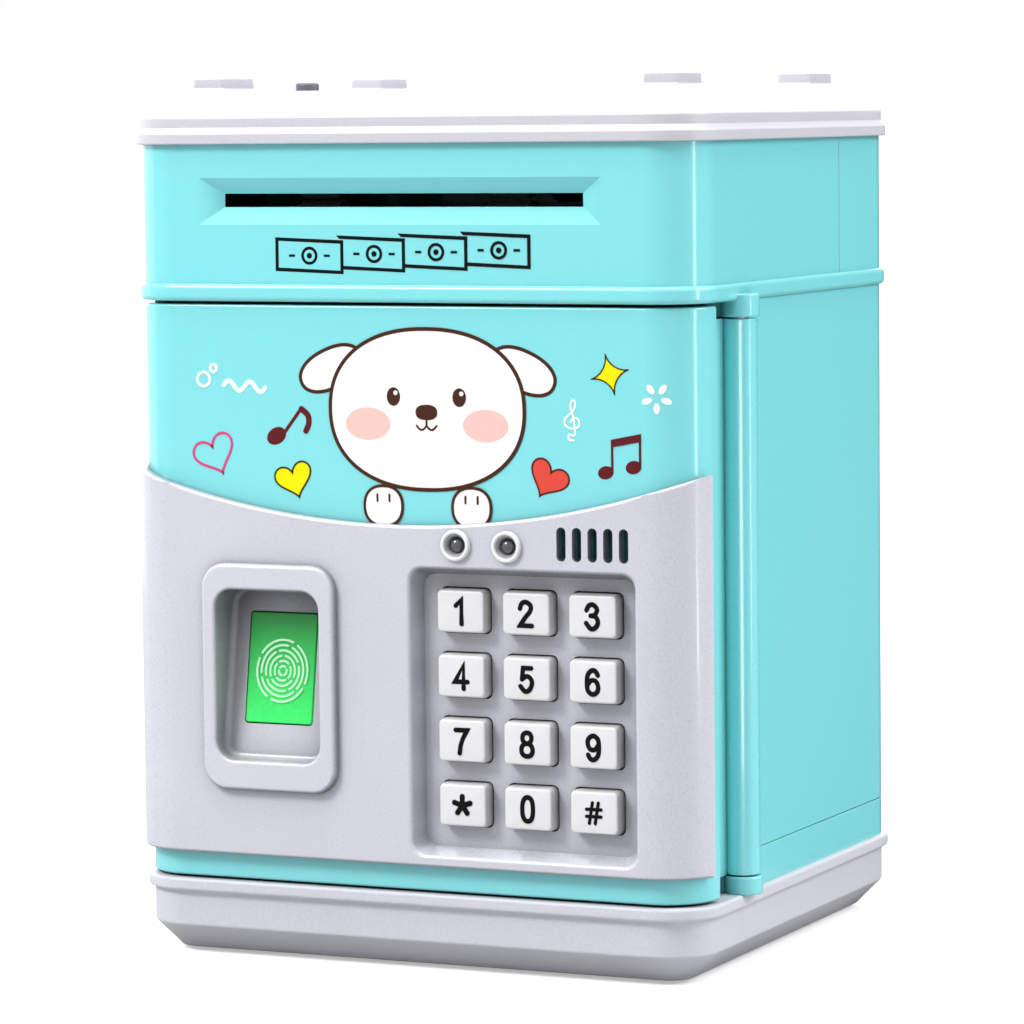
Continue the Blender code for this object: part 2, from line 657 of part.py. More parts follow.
def housing_half(name, clear_from, clear_to, mats):
    """The upper housing's wall all round, less everything between two depths."""
    half = footprint(name, BODY_X, BODY_Y, UPPER_LOW, UPPER_TOP, BODY_RADIUS, mats["turquoise"])
    inside = footprint(name + "_inside", BODY_X - WALL, BODY_Y - WALL, 0, 3 * FAR, BODY_RADIUS - WALL)
    return cut(half, inside, block(name + "_other_half", (-FAR, clear_from, 0), (FAR, clear_to, 3 * FAR)))


def make_lid(mats):
    """The cover over the upper housing, with corner blocks, a coin slot and a hole for the push button."""
    rim = 0.6 * MM
    lid = footprint(
        "lid", LID_TIER_X, LID_TIER_Y, LID_LOW + 0.5 * MM, LID_TOP, FLANGE_RADIUS - 1 * MM, mats["grey"],
        rim_high=LID_CHAMFER,
    )
    flange = footprint(
        "lid_flange", FLANGE_X, FLANGE_Y, LID_LOW, LID_FLANGE_TOP, FLANGE_RADIUS, rim_low=rim, rim_high=rim
    )
    hollow = footprint(
        "lid_hollow",
        LID_TIER_X - LID_WALL,
        LID_TIER_Y - LID_WALL,
        LID_LOW - 10 * MM,
        LID_TOP - LID_WALL,
        BODY_RADIUS - WALL,
        rim_high=LID_CHAMFER - 1 * MM,
    )
    join(lid, flange)
    cut(lid, hollow)
    half_x = BLOCK_SIZE[0] / 2
    half_y = BLOCK_SIZE[1] / 2
    for side in (-1, 1):
        for end in (-1, 1):
            x = side * BLOCK_CENTRE[0]
            y = end * BLOCK_CENTRE[1]
            low = (x - half_x, y - half_y, LID_TOP - 1 * MM)
            high = (x + half_x, y + half_y, BLOCK_TOP)
            name = f"corner_block_{side}_{end}"
            join(lid, block(name, low, high, radius=0.8 * MM, segments=2, rim_high=0.4 * MM))
    slot_x = COIN_SLOT[0] / 2
    slot_y = COIN_SLOT[1] / 2
    slot_low = (-slot_x, -slot_y, LID_LOW)
    slot_high = (slot_x, slot_y, LID_LOW + FAR)
    coin_slot = block("coin_slot", slot_low, slot_high, radius=1.2 * MM, segments=3)
    hole_top = (BUTTON_X, 0, LID_LOW + FAR)
    button_hole = rod("button_hole", BUTTON_RADIUS + GAP, (BUTTON_X, 0, LID_LOW), hole_top)
    cut(lid, coin_slot, button_hole)


def make_top_button(mats):
    """A small round button with a flange under the lid. Its origin is in the middle of its top."""
    rim = 0.4 * MM
    shoulder = LID_TOP - LID_WALL - 0.4 * MM - BUTTON_TOP
    flange_low = shoulder - 1.2 * MM
    flange_radius = BUTTON_RADIUS + 1.3 * MM
    profile = [
        (0, 0),
        (BUTTON_RADIUS - rim, 0),
        (BUTTON_RADIUS, -rim),
        (BUTTON_RADIUS, shoulder),
        (flange_radius, shoulder),
        (flange_radius, flange_low),
        (0, flange_low),
    ]
    turned("top_button", profile, (BUTTON_X, 0, BUTTON_TOP), mats["dark"], steps=20)


def make_coin_chute(mats):
    """A square tube from the coin slot down to the drop opening, with a collar under the lid."""
    half_x = COIN_SLOT[0] / 2 + 0.5 * MM
    half_y = COIN_SLOT[1] / 2 + 0.5 * MM
    top = LID_TOP - LID_WALL - GAP
    bottom = RIDGE_TOP + 1.4 * MM
    outer_x = half_x + CHUTE_WALL
    outer_y = half_y + CHUTE_WALL
    chute = block("coin_chute", (-outer_x, -outer_y, bottom), (outer_x, outer_y, top), mats["grey"])
    collar_x = outer_x + CHUTE_COLLAR
    collar_y = outer_y + CHUTE_COLLAR
    collar = block("chute_collar", (-collar_x, -collar_y, top - CHUTE_WALL), (collar_x, collar_y, top))
    bore = block("chute_bore", (-half_x, -half_y, FAR), (half_x, half_y, 3 * FAR))
    join(chute, collar)
    cut(chute, bore)


def make_feeder_frame(mats):
    """A channel behind the note slot: a floor that the note runs on and two cheeks that hold the shafts."""
    front, back = FEEDER_Y
    bottom = RIDGE_TOP + GAP
    top = FEEDER_TOP
    left = CHEEK_LEFT_X
    right = CHEEK_RIGHT_X + CHEEK_THICK
    frame = block("feeder_frame", (left, front, bottom), (left + CHEEK_THICK, back, top), mats["black"])
    floor_top = NOTE_Z - 1.6 * MM
    floor_low = (left + 0.5 * MM, front, floor_top - CHEEK_THICK)
    floor = block("feeder_floor", floor_low, (right - 0.5 * MM, back, floor_top))
    cheek = block("feeder_cheek", (CHEEK_RIGHT_X, front, bottom), (right, back, top))
    join(frame, floor, cheek)
    for index, x in enumerate(ROLLER_X):
        half = ROLLER_WIDTH / 2 + 0.8 * MM
        low = (x - half, FEED_Y - 4.6 * MM, floor_top - 4 * MM)
        high = (x + half, FEED_Y + 6 * MM, floor_top + 4 * MM)
        cut(frame, block(f"roller_window_{index}", low, high))
    for name, y, z in (("feed", FEED_Y, FEED_Z), ("idler", FEED_Y, IDLER_Z), ("pinion", PINION_Y, FEED_Z)):
        bearing = rod(f"{name}_bearing", SHAFT_RADIUS + RUNNING, (-FAR, y, z), (FAR, y, z), segments=24)
        cut(frame, bearing)


def gear_outline(teeth):
    """Points round a gear with straight-sided teeth. The first tooth points along +Y."""
    pitch = GEAR_MODULE * teeth / 2
    tip = pitch + 0.75 * GEAR_MODULE
    root = pitch - 1.0 * GEAR_MODULE
    step = 2 * math.pi / teeth
    points = []
    for tooth in range(teeth):
        middle = tooth * step
        for radius, share in ((root, -0.32), (tip, -0.10), (tip, 0.10), (root, 0.32)):
            angle = middle + share * step
            points.append((radius * math.cos(angle), radius * math.sin(angle)))
    return points


def circle_points(radius, count):
    return [
        (radius * math.cos(2 * math.pi * index / count), radius * math.sin(2 * math.pi * index / count))
        for index in range(count)
    ]


def flat_piece(name, outlines, thickness, location, material):
    """A flat piece from closed outlines, standing across the X axis."""
    curve = bpy.data.curves.new(name, "CURVE")
    curve.dimensions = "2D"
    curve.fill_mode = "BOTH"
    curve.extrude = thickness / 2
    for outline in outlines:
        spline = curve.splines.new("POLY")
        spline.points.add(len(outline) - 1)
        for point, (x, y) in zip(spline.points, outline):
            point.co = (x, y, 0, 1)
        spline.use_cyclic_u = True
    obj = new_object(name, curve, material)
    obj.location = location
    obj.rotation_euler = (math.radians(90), 0, math.radians(90))
    return obj


def make_feeder(mats):
    """Driven shaft with two rubber rollers and a gear, the idler under it, and the motor with its pinion."""
    shaft_left = CHEEK_LEFT_X - 0.6 * MM
    shaft_right = GEAR_X + GEAR_THICK / 2 + 0.8 * MM
    feed_axis = empty("feed_spin", (0, FEED_Y, FEED_Z))
    shaft_start = (shaft_left, FEED_Y, FEED_Z)
    shaft = rod("feed_shaft", SHAFT_RADIUS, shaft_start, (shaft_right, FEED_Y, FEED_Z), mats["steel"])
    hang_on(feed_axis, shaft)
    tyre_profile = [
        (SHAFT_RADIUS + 0.1 * MM, ROLLER_WIDTH / 2),
        (ROLLER_RADIUS - 0.4 * MM, ROLLER_WIDTH / 2),
        (ROLLER_RADIUS, ROLLER_WIDTH / 2 - 0.4 * MM),
        (ROLLER_RADIUS, -ROLLER_WIDTH / 2 + 0.4 * MM),
        (ROLLER_RADIUS - 0.4 * MM, -ROLLER_WIDTH / 2),
        (SHAFT_RADIUS + 0.1 * MM, -ROLLER_WIDTH / 2),
        (SHAFT_RADIUS + 0.1 * MM, ROLLER_WIDTH / 2),
    ]
    for name, x in zip(("feed_roller_left", "feed_roller_right"), ROLLER_X):
        hang_on(feed_axis, turned(name, tyre_profile, (x, FEED_Y, FEED_Z), mats["rubber"], "X"))
    bore = circle_points(SHAFT_RADIUS + 0.1 * MM, 16)
    outlines = (gear_outline(GEAR_TEETH), bore)
    gear = flat_piece("feed_gear", outlines, GEAR_THICK, (GEAR_X, FEED_Y, FEED_Z), mats["white"])
    hang_on(feed_axis, gear)
    land = ROLLER_WIDTH / 2
    half_span = (shaft_right - 4 * MM - shaft_left) / 2
    middle = shaft_left + half_span
    profile = [(0, half_span), (SHAFT_RADIUS, half_span)]
    for x in reversed(ROLLER_X):
        local = x - middle
        profile += [
            (SHAFT_RADIUS, local + land),
            (ROLLER_RADIUS, local + land),
            (ROLLER_RADIUS, local - land),
            (SHAFT_RADIUS, local - land),
        ]
    profile += [(SHAFT_RADIUS, -half_span), (0, -half_span)]
    turned("idler_roller", profile, (middle, FEED_Y, IDLER_Z), mats["rubber"], "X")
    make_motor(mats)


def make_motor(mats):
    motor_axis = empty("motor_spin", (0, PINION_Y, FEED_Z))
    motor_end = CHEEK_RIGHT_X - GAP
    half = MOTOR_LENGTH / 2
    edge = 0.5 * MM
    bore_floor = half - 6 * MM
    profile = [
        (0, bore_floor),
        (STEM_RADIUS + 0.2 * MM, bore_floor),
        (STEM_RADIUS + 0.2 * MM, half),
        (MOTOR_RADIUS - edge, half),
        (MOTOR_RADIUS, half - edge),
        (MOTOR_RADIUS, -half + edge),
        (MOTOR_RADIUS - edge, -half),
        (0, -half),
    ]
    turned("feed_motor", profile, (motor_end - half, PINION_Y, FEED_Z), mats["steel"], "X")
    place = (GEAR_X, PINION_Y, FEED_Z)
    outline = flat_piece("pinion_wheel", (gear_outline(PINION_TEETH),), GEAR_THICK, place, None)
    bpy.context.view_layer.update()
    turn = outline.rotation_euler.copy()
    wheel = new_object("motor_pinion", curve_to_mesh(outline), mats["brass"])
    wheel.location = place
    wheel.rotation_euler = turn
    stem = rod("pinion_stem", STEM_RADIUS, (motor_end - 5 * MM, PINION_Y, FEED_Z), place, segments=16)
    join(wheel, stem)
    hang_on(motor_axis, wheel)


def curve_to_mesh(curve_object):
    """The welded mesh of a curve object, which is removed."""
    graph = bpy.context.evaluated_depsgraph_get()
    mesh = bpy.data.meshes.new_from_object(curve_object.evaluated_get(graph))
    bm = bmesh.new()
    bm.from_mesh(mesh)
    bmesh.ops.remove_doubles(bm, verts=bm.verts, dist=MERGE)
    bmesh.ops.recalc_face_normals(bm, faces=bm.faces)
    bm.to_mesh(mesh)
    bm.free()
    bpy.data.objects.remove(curve_object, do_unlink=True)
    return mesh


def make_wire_harness(mats):
    """The cable from the battery compartment up the rear right corner to the motor."""
    curve = bpy.data.curves.new("wire_harness", "CURVE")
    curve.dimensions = "3D"
    curve.bevel_depth = 1.1 * MM
    curve.bevel_resolution = 1
    curve.use_fill_caps = True
    points = (
        (26 * MM, 18 * MM, 12 * MM),
        (50 * MM, 44 * MM, 12 * MM),
        (*CABLE_CORNER, 17 * MM),
        (*CABLE_CORNER, 152 * MM),
        (54 * MM, 44 * MM, 158 * MM),
        (24 * MM, -26.4 * MM, 164 * MM),
        (25.2 * MM, -35.4 * MM, 166 * MM),
    )
    spline = curve.splines.new("POLY")
    spline.points.add(len(points) - 1)
    for point, place in zip(spline.points, points):
        point.co = (*place, 1)
    new_object("wire_harness", curve, mats["black"])


def make_door_shell(mats):
    """The door moulding: a shallow tray with wrapped sides, plus the web and barrel of its hinge."""
    door = footprint("door_shell", BODY_X, BODY_Y, DOOR_LOW, DOOR_TOP, BODY_RADIUS, mats["turquoise"])
    inside = footprint(
        "door_inside",
        BODY_X - DOOR_WALL,
        BODY_Y - DOOR_WALL,
        DOOR_LOW + DOOR_WALL,
        DOOR_TOP - DOOR_WALL,
        BODY_RADIUS - DOOR_WALL,
    )
    behind = block("door_behind", (-FAR, DOOR_BACK_Y, 0), (FAR, FAR, 2 * FAR))
    barrel_low, barrel_top = barrel_ends()
    web = block("door_web", (WEB_X[0], WEB_FRONT_Y, barrel_low), (WEB_X[1], HINGE_Y - 1 * MM, barrel_top))
    barrel_foot = (HINGE_X, HINGE_Y, barrel_low)
    barrel = rod("door_barrel", BARREL_RADIUS, barrel_foot, (HINGE_X, HINGE_Y, barrel_top), segments=28)
    low_hole = hinge_hole("door_pin_hole_low", barrel_low - 1 * MM, barrel_low + PIN_DEPTH)
    high_hole = hinge_hole("door_pin_hole_high", barrel_top - PIN_DEPTH, barrel_top + 1 * MM)
    margin = 2.2 * MM
    room_low = (KEYPAD_LOW[0] - margin, KEYPAD_LOW[1] - margin)
    room_high = (KEYPAD_HIGH[0] + margin, LAMP_Z + 2.7 * MM)
    keypad_room = front_block("keypad_room", room_low, room_high, -FAR, OPENING_BACK_Y, radius=4 * MM)
    room_low = (34 * MM, 80 * MM)
    room_high = (KEYPAD_HIGH[0] + 1.5 * MM, 96.4 * MM)
    speaker_room = front_block("speaker_room", room_low, room_high, -FAR, OPENING_BACK_Y)
    cut(door, inside, behind)
    join(door, web, barrel)
    cut(door, low_hole, high_hole, keypad_room, speaker_room, reader_opening("reader_room", OPENING_BACK_Y))
    return door


def reader_opening(name, y_back):
    """The cutter for the hole that the reader's tub sits in."""
    margin = READER_WALL + GAP
    low = (POCKET_LOW[0] - margin, POCKET_LOW[1] - margin)
    high = (POCKET_HIGH[0] + margin, POCKET_HIGH[1] + margin)
    return front_block(name, low, high, -FAR, y_back, radius=4 * MM)


def make_faceplate(mats):
    """The grey plate over the lower door. It wraps both corners, and its top edge is a shallow arc."""
    low = (-PLATE_X, PLATE_FRONT_Y, PLATE_LOW)
    high = (PLATE_X, -PLATE_FRONT_Y, 110 * MM)
    plate = block("faceplate", low, high, mats["grey"], PLATE_RADIUS)
    inner_x = PLATE_X - PLATE_SIDE_THICK
    inner_y = PLATE_FRONT_Y + PLATE_THICK
    inner_radius = PLATE_RADIUS - 1.4 * MM
    inside = block("plate_inside", (-inner_x, inner_y, 0), (inner_x, -inner_y, FAR * 2), radius=inner_radius)
    behind = block("plate_behind", (-FAR, PLATE_BACK_Y, 0), (FAR, FAR, FAR * 2))
    arc_z = PLATE_ARC_LOWEST + PLATE_ARC_RADIUS
    arc = rod("plate_arc", PLATE_ARC_RADIUS, (0, -FAR, arc_z), (0, FAR, arc_z), segments=200)
    cut(plate, inside, behind, arc)
    tub_wall = 1.9 * MM
    tub_low = (KEYPAD_LOW[0] - tub_wall, KEYPAD_LOW[1] - tub_wall)
    tub_high = (KEYPAD_HIGH[0] + tub_wall, KEYPAD_HIGH[1] + tub_wall)
    tub_back = KEYPAD_FLOOR_Y + KEYPAD_FLOOR_THICK
    tub = front_block("keypad_tub", tub_low, tub_high, PLATE_FRONT_Y + 1 * MM, tub_back, radius=KEYPAD_RADIUS)
    slope = KEYPAD_WALL_SLOPE
    floor_low = (KEYPAD_LOW[0] + slope, KEYPAD_LOW[1] + slope)
    floor_high = (KEYPAD_HIGH[0] - slope, KEYPAD_HIGH[1] - slope)
    recess = funnel(
        "keypad_recess",
        KEYPAD_LOW,
        KEYPAD_HIGH,
        floor_low,
        floor_high,
        PLATE_FRONT_Y,
        KEYPAD_FLOOR_Y,
        KEYPAD_RADIUS,
    )
    join(plate, tub)
    cut(plate, recess)
    for x, name, z in key_places():
        low = (x - KEY_SIZE[0] / 2 - GAP, z - KEY_SIZE[1] / 2 - GAP)
        high = (x + KEY_SIZE[0] / 2 + GAP, z + KEY_SIZE[1] / 2 + GAP)
        cut(plate, front_block("hole_" + name, low, high, KEYPAD_FLOOR_Y - 2.5 * MM, OPENING_BACK_Y))
    add_lamp_collars(plate)
    add_grille(plate)
    return cut(plate, reader_opening("plate_reader_room", PLATE_OPENING_BACK_Y))


def add_lamp_collars(plate):
    """A raised collar and a hole for each indicator lamp."""
    for index, x in enumerate(LAMP_X):
        start = (x, PLATE_FRONT_Y - 1 * MM, LAMP_Z)
        end = (x, PLATE_FRONT_Y + 1 * MM, LAMP_Z)
        join(plate, rod(f"lamp_collar_{index}", LAMP_COLLAR_RADIUS, start, end))
        start = (x, -FAR, LAMP_Z)
        end = (x, DOOR_BACK_Y, LAMP_Z)
        cut(plate, rod(f"lamp_hole_{index}", LAMP_RADIUS + 0.25 * MM, start, end))


def add_grille(plate):
    """The upright slots in front of the loudspeaker."""
    middle = (GRILLE_SLOTS - 1) / 2
    for index in range(GRILLE_SLOTS):
        x = GRILLE_X + (index - middle) * GRILLE_PITCH
        low = (x - GRILLE_SLOT[0] / 2, GRILLE_Z - GRILLE_SLOT[1] / 2)
        high = (x + GRILLE_SLOT[0] / 2, GRILLE_Z + GRILLE_SLOT[1] / 2)
        cut(plate, front_block(f"grille_slot_{index}", low, high, -FAR, PLATE_OPENING_BACK_Y, radius=1 * MM))


def key_places():
    for row, z in enumerate(KEY_Z):
        for column, x in enumerate(KEY_X):
            yield x, "key_" + KEY_NAMES[row][column], z


def make_keys(mats):
    """Twelve square buttons that share one mesh: a cap that comes through the plate, with a flange behind."""
    keys = []
    half_x = KEY_SIZE[0] / 2
    half_z = KEY_SIZE[1] / 2
    master = None
    centre_y = (KEY_FRONT_Y + KEY_BACK_Y) / 2
    for x, name, z in key_places():
        if master is None:
            low = (x - half_x, z - half_z)
            high = (x + half_x, z + half_z)
            white = mats["white"]
            master = front_block(name, low, high, KEY_FRONT_Y, KEY_BACK_Y, white, 1.1 * MM, 0.6 * MM, 2)
            low = (low[0] - KEY_FLANGE, low[1] - KEY_FLANGE)
            high = (high[0] + KEY_FLANGE, high[1] + KEY_FLANGE)
            flange_front = KEY_BACK_Y - KEY_FLANGE_THICK
            join(master, front_block("key_flange", low, high, flange_front, KEY_BACK_Y + 0.1 * MM))
            keys.append(freeze(master))
        else:
            keys.append(copy_of(master, name, (x, centre_y, z)))
    return keys


def make_reader(mats):
    """The fingerprint reader: a raised bezel with a leaning floor, and the press pad in that floor."""

    def floor_y(z, offset):
        """Depth of the leaning floor at height z; offset is measured back from it."""
        return PAD_CENTRE.y + (z - PAD_CENTRE.z) * math.tan(PAD_LEAN) + offset / math.cos(PAD_LEAN)

    bezel = front_block(
        "fingerprint_bezel",
        READER_LOW,
        READER_HIGH,
        READER_FRONT_Y,
        PLATE_FRONT_Y - GAP,
        mats["grey"],
        READER_RADIUS,
        rim=0.8 * MM,
        segments=5,
    )
    tub_low = (POCKET_LOW[0] - READER_WALL, POCKET_LOW[1] - READER_WALL)
    tub_high = (POCKET_HIGH[0] + READER_WALL, POCKET_HIGH[1] + READER_WALL)
    tub_front = READER_FRONT_Y + 1 * MM
    tub = front_block("reader_tub", tub_low, tub_high, tub_front, OPENING_BACK_Y, radius=3.8 * MM)
    pocket = front_block(
        "reader_pocket", POCKET_LOW, POCKET_HIGH, -FAR, OPENING_BACK_Y, radius=POCKET_RADIUS, segments=5
    )
    reshape_back(tub, lambda world: (world.x, floor_y(world.z, READER_WALL), world.z))
    reshape_back(pocket, lambda world: (world.x, floor_y(world.z, 0), world.z))
    half_x = PAD_SIZE[0] / 2
    half_z = PAD_SIZE[1] / 2
    window = leaning_block("pad_window", (half_x + GAP, 5 * MM, half_z + GAP), 0)
    join(bezel, tub)
    cut(bezel, pocket, window)
    pad = leaning_block("fingerprint_pad", (half_x, 1.2 * MM, half_z), 0.9 * MM, mats["green"])
    flange = leaning_block("pad_flange", (half_x + 1 * MM, 0.4 * MM, half_z + 1 * MM), READER_WALL + 0.7 * MM)
    join(pad, flange)
    return bezel, pad


def leaning_block(name, half_size, behind, material=None):
    """A block square to the reader's leaning floor. Its middle is `behind` the floor's surface."""
    half_x, half_y, half_z = half_size
    obj = block(name, (-half_x, -half_y, -half_z), (half_x, half_y, half_z), material)
    inward = Vector((0, math.cos(PAD_LEAN), -math.sin(PAD_LEAN)))
    obj.location = PAD_CENTRE + inward * behind
    obj.rotation_euler = (-PAD_LEAN, 0, 0)
    return obj


def make_door_inside(mats):
    """What the door holds: rubber mat, circuit board, lamps, loudspeaker and the cover behind them."""
    mat = front_block("key_membrane", MEMBRANE_LOW, MEMBRANE_HIGH, *MEMBRANE_Y, mats["rubber"])
    board = front_block("door_circuit_board", BOARD_LOW, BOARD_HIGH, *BOARD_Y, mats["board"])
    turquoise = mats["turquoise"]
    cover = front_block("door_back_cover", COVER_PLATE_LOW, COVER_PLATE_HIGH, *COVER_PLATE_Y, turquoise)
    screws = [
        make_cover_screw("door_cover_screw_upper", 128 * MM, cover, mats),
        make_cover_screw("door_cover_screw_lower", 30 * MM, cover, mats),
    ]
    return [mat, board, *make_lamps(mats), make_speaker(mats), cover, *screws]


def make_lamps(mats):
    """Two indicator lamps, each a dome on a stem with a small flange at its foot."""
    dome_level = 5.15 * MM
    foot_radius = LAMP_RADIUS + 0.5 * MM
    foot_top = 1 * MM
    profile = [(0, dome_level + LAMP_RADIUS)]
    for angle in (25, 50, 75):
        turn = math.radians(angle)
        profile.append((LAMP_RADIUS * math.sin(turn), dome_level + LAMP_RADIUS * math.cos(turn)))
    profile += [
        (LAMP_RADIUS, dome_level - 0.15 * MM),
        (LAMP_RADIUS, foot_top),
        (foot_radius, foot_top),
        (foot_radius, 0),
        (0, 0),
    ]
    foot_y = PLATE_FRONT_Y + 6 * MM
    return [
        turned(name, profile, (x, foot_y, LAMP_Z), mats["dark"], "-Y", steps=20)
        for name, x in zip(("status_lamp_left", "status_lamp_right"), LAMP_X)
    ]


def make_speaker(mats):
    """A small loudspeaker with its cone towards the grille."""
    rim_height = 4.2 * MM
    magnet_radius = SPEAKER_RADIUS - 3.5 * MM
    profile = [
        (0, 2.2 * MM),
        (3.5 * MM, 2.4 * MM),
        (SPEAKER_RADIUS - 2 * MM, rim_height),
        (SPEAKER_RADIUS, rim_height),
        (SPEAKER_RADIUS, 0.6 * MM),
        (magnet_radius, 0),
        (0, 0),
    ]
    return turned("speaker", profile, SPEAKER_PLACE, mats["black"], "-Y")


def make_cover_screw(name, z, cover, mats):
    """A screw with a flat head and its hole in the door's back cover."""
    start = (COVER_SCREW_X, COVER_SCREW_Y - 5 * MM, z)
    end = (COVER_SCREW_X, COVER_SCREW_Y + 5 * MM, z)
    cut(cover, rod(name + "_hole", SCREW_HOLE_RADIUS, start, end, segments=12))
    top = 2.4 * MM
    head_low = 1.6 * MM
    head_radius = 2.4 * MM
    shank_radius = 1.4 * MM
    profile = [
        (0, top),
        (head_radius, top),
        (head_radius, head_low),
        (shank_radius, head_low),
        (shank_radius, 0),
        (0, 0),
    ]
    return turned(name, profile, (COVER_SCREW_X, COVER_SCREW_Y, z), mats["steel"], "Y", steps=12)


def make_lock(mats):
    """The solenoid on the back of the door, its sliding bolt and the return spring round the plunger."""
    low = (SOLENOID_X[0], LOCK_Z - SOLENOID_HALF_HEIGHT)
    high = (SOLENOID_X[1], LOCK_Z + SOLENOID_HALF_HEIGHT)
    solenoid = front_block("lock_solenoid", low, high, *SOLENOID_Y, mats["steel"])
    start = (SOLENOID_X[0] - 1 * MM, LOCK_Y, LOCK_Z)
    end = (SOLENOID_X[1] - 3 * MM, LOCK_Y, LOCK_Z)
    cut(solenoid, rod("solenoid_bore", PLUNGER_RADIUS + 0.4 * MM, start, end, segments=16))
    bolt = block(
        "lock_bolt",
        (BOLT_TIP_X, LOCK_Y - 2 * MM, LOCK_Z - 4 * MM),
        (BOLT_TIP_X + 7 * MM, LOCK_Y + 2 * MM, LOCK_Z + 4 * MM),
        mats["steel"],
        radius=0.8 * MM,
        segments=2,
    )
    start = (BOLT_TIP_X + 6 * MM, LOCK_Y, LOCK_Z)
    end = (SOLENOID_X[0] + 12 * MM, LOCK_Y, LOCK_Z)
    join(bolt, rod("bolt_plunger", PLUNGER_RADIUS, start, end, segments=16))
    spring = make_spring("lock_spring", BOLT_TIP_X + 7.6 * MM, SOLENOID_X[0] - 0.6 * MM, mats["steel"])
    return solenoid, bolt, spring


def make_spring(name, x_start, x_end, material):
    """A coil round the bolt's plunger, along X."""
    turns = 4
    per_turn = 8
    coil_radius = 2.5 * MM
    curve = bpy.data.curves.new(name, "CURVE")
    curve.dimensions = "3D"
    curve.bevel_depth = 0.3 * MM
    curve.bevel_resolution = 0
    curve.use_fill_caps = True
    count = turns * per_turn
    spline = curve.splines.new("POLY")
    spline.points.add(count)
    for index, point in enumerate(spline.points):
        angle = 2 * math.pi * index / per_turn
        along = (x_end - x_start) * index / count
        point.co = (along, coil_radius * math.cos(angle), coil_radius * math.sin(angle), 1)
    obj = new_object(name, curve, material)
    obj.location = (x_start, LOCK_Y, LOCK_Z)
    return obj


def make_door(mats):
    """Everything that swings with the door hangs on an empty on the hinge line."""
    hinge = empty("door_hinge", (HINGE_X, HINGE_Y, DOOR_LOW))
    hang_on(hinge, make_door_shell(mats), make_faceplate(mats), *make_keys(mats))
    hang_on(hinge, *make_reader(mats), *make_door_inside(mats), *make_lock(mats))


def main():
    clear_scene()
    mats = make_materials()
    make_base(mats)
    make_feet(mats)
    make_batteries(mats)
    make_battery_cover(mats)
    make_sill(mats)
    make_cash_floor(mats)
    make_body_shell(mats)
    make_deck(mats)
    make_hinge_pins(mats)
    make_upper_housing(mats)
    make_lid(mats)
    make_top_button(mats)
    make_coin_chute(mats)
    make_feeder_frame(mats)
    make_feeder(mats)
    make_wire_harness(mats)
    make_door(mats)


main()
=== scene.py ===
"""Looks of the toy cash machine savings bank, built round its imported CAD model.

+Z is up and the door faces -Y. Lengths of shapes are in millimetres, and a point is turned into metres when a
mesh is made from it. The stage, the lights and the camera are in metres.
"""

import json
import math
from collections import namedtuple

import bmesh
import bpy
from mathutils import Matrix, Vector


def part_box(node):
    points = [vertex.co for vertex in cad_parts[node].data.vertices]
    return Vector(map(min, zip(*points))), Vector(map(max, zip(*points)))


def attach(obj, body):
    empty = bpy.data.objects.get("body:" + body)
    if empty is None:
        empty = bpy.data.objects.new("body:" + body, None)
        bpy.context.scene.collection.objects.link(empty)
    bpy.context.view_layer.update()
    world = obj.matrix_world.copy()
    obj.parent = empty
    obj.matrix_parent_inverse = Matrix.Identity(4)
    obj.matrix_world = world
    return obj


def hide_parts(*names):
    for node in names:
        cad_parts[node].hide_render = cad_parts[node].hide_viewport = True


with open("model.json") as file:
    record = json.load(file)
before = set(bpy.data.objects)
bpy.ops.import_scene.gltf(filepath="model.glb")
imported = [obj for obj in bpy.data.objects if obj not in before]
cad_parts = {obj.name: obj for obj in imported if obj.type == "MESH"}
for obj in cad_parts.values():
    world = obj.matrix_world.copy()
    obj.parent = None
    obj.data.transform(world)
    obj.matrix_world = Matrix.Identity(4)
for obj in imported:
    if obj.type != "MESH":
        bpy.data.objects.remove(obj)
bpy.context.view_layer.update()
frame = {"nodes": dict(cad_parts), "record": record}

MM = 0.001
Spot = namedtuple("Spot", "x y z")
Box = namedtuple("Box", "low high middle")


def node_box(node):
    """The box of a CAD node in millimetres."""
    low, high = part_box(node)
    return Box(*[Spot(*[value / MM for value in point]) for point in (low, high, (low + high) / 2)])


# Sizes taken from the frame.
BODY = node_box("body_shell")
DOOR = node_box("door_shell")
LID = node_box("lid")
DECK = node_box("deck_plate")
SILL = node_box("sill_frame")
BASE = node_box("base_tray")
PLATE = node_box("faceplate")
HINGE = node_box("hinge_pin_top").middle
HALF_X = BODY.high.x
HALF_Y = BODY.high.y

# Shape values that no node's box states.
FAR = 90
CORNER_STEPS = 14
CORNER_RADIUS = 11.2
FLANGE_RADIUS = 12.4
WALL = 2.4
DOOR_WALL = 2.2
BASE_FLANGE_LOW = 14.2
BASE_TOP = 17
BASE_CHAMFER = 5.8
DECK_LOW = 141.2
LUG_RADIUS = 4.15
LUG_HEIGHT = 3.4
BARREL_RADIUS = 3.7
PIN_HOLE = 1.56
SHELL_FRONT_LEFT = -47
SHELL_FRONT_RIGHT = -29.7
SILL_CORNER = 60.9
DOOR_BACK = -47.4
UPPER_SPLIT = 24.6
UPPER_SEAM = 0.17
RECESS = ((-47.7, 157.5), (45.3, 167.3))
NOTE_SLOT = ((-42.8, 161.1), (40.3, 163.95))
RECESS_DEPTH = 2.5
RECESS_FRAME_BACK = -53.9
NOTE_SLOT_BACK = -44.4
LID_FLANGE_TOP = 176.6
LID_STEP_TOP = 177.9
LID_PLATEAU = 185.5
LID_TIER = 1
LID_CHAMFER = 5.5
LID_WALL = 2.2
BLOCK_CENTRE = (52.6, 38.2)
BLOCK_HALF = (3.8, 7.2)
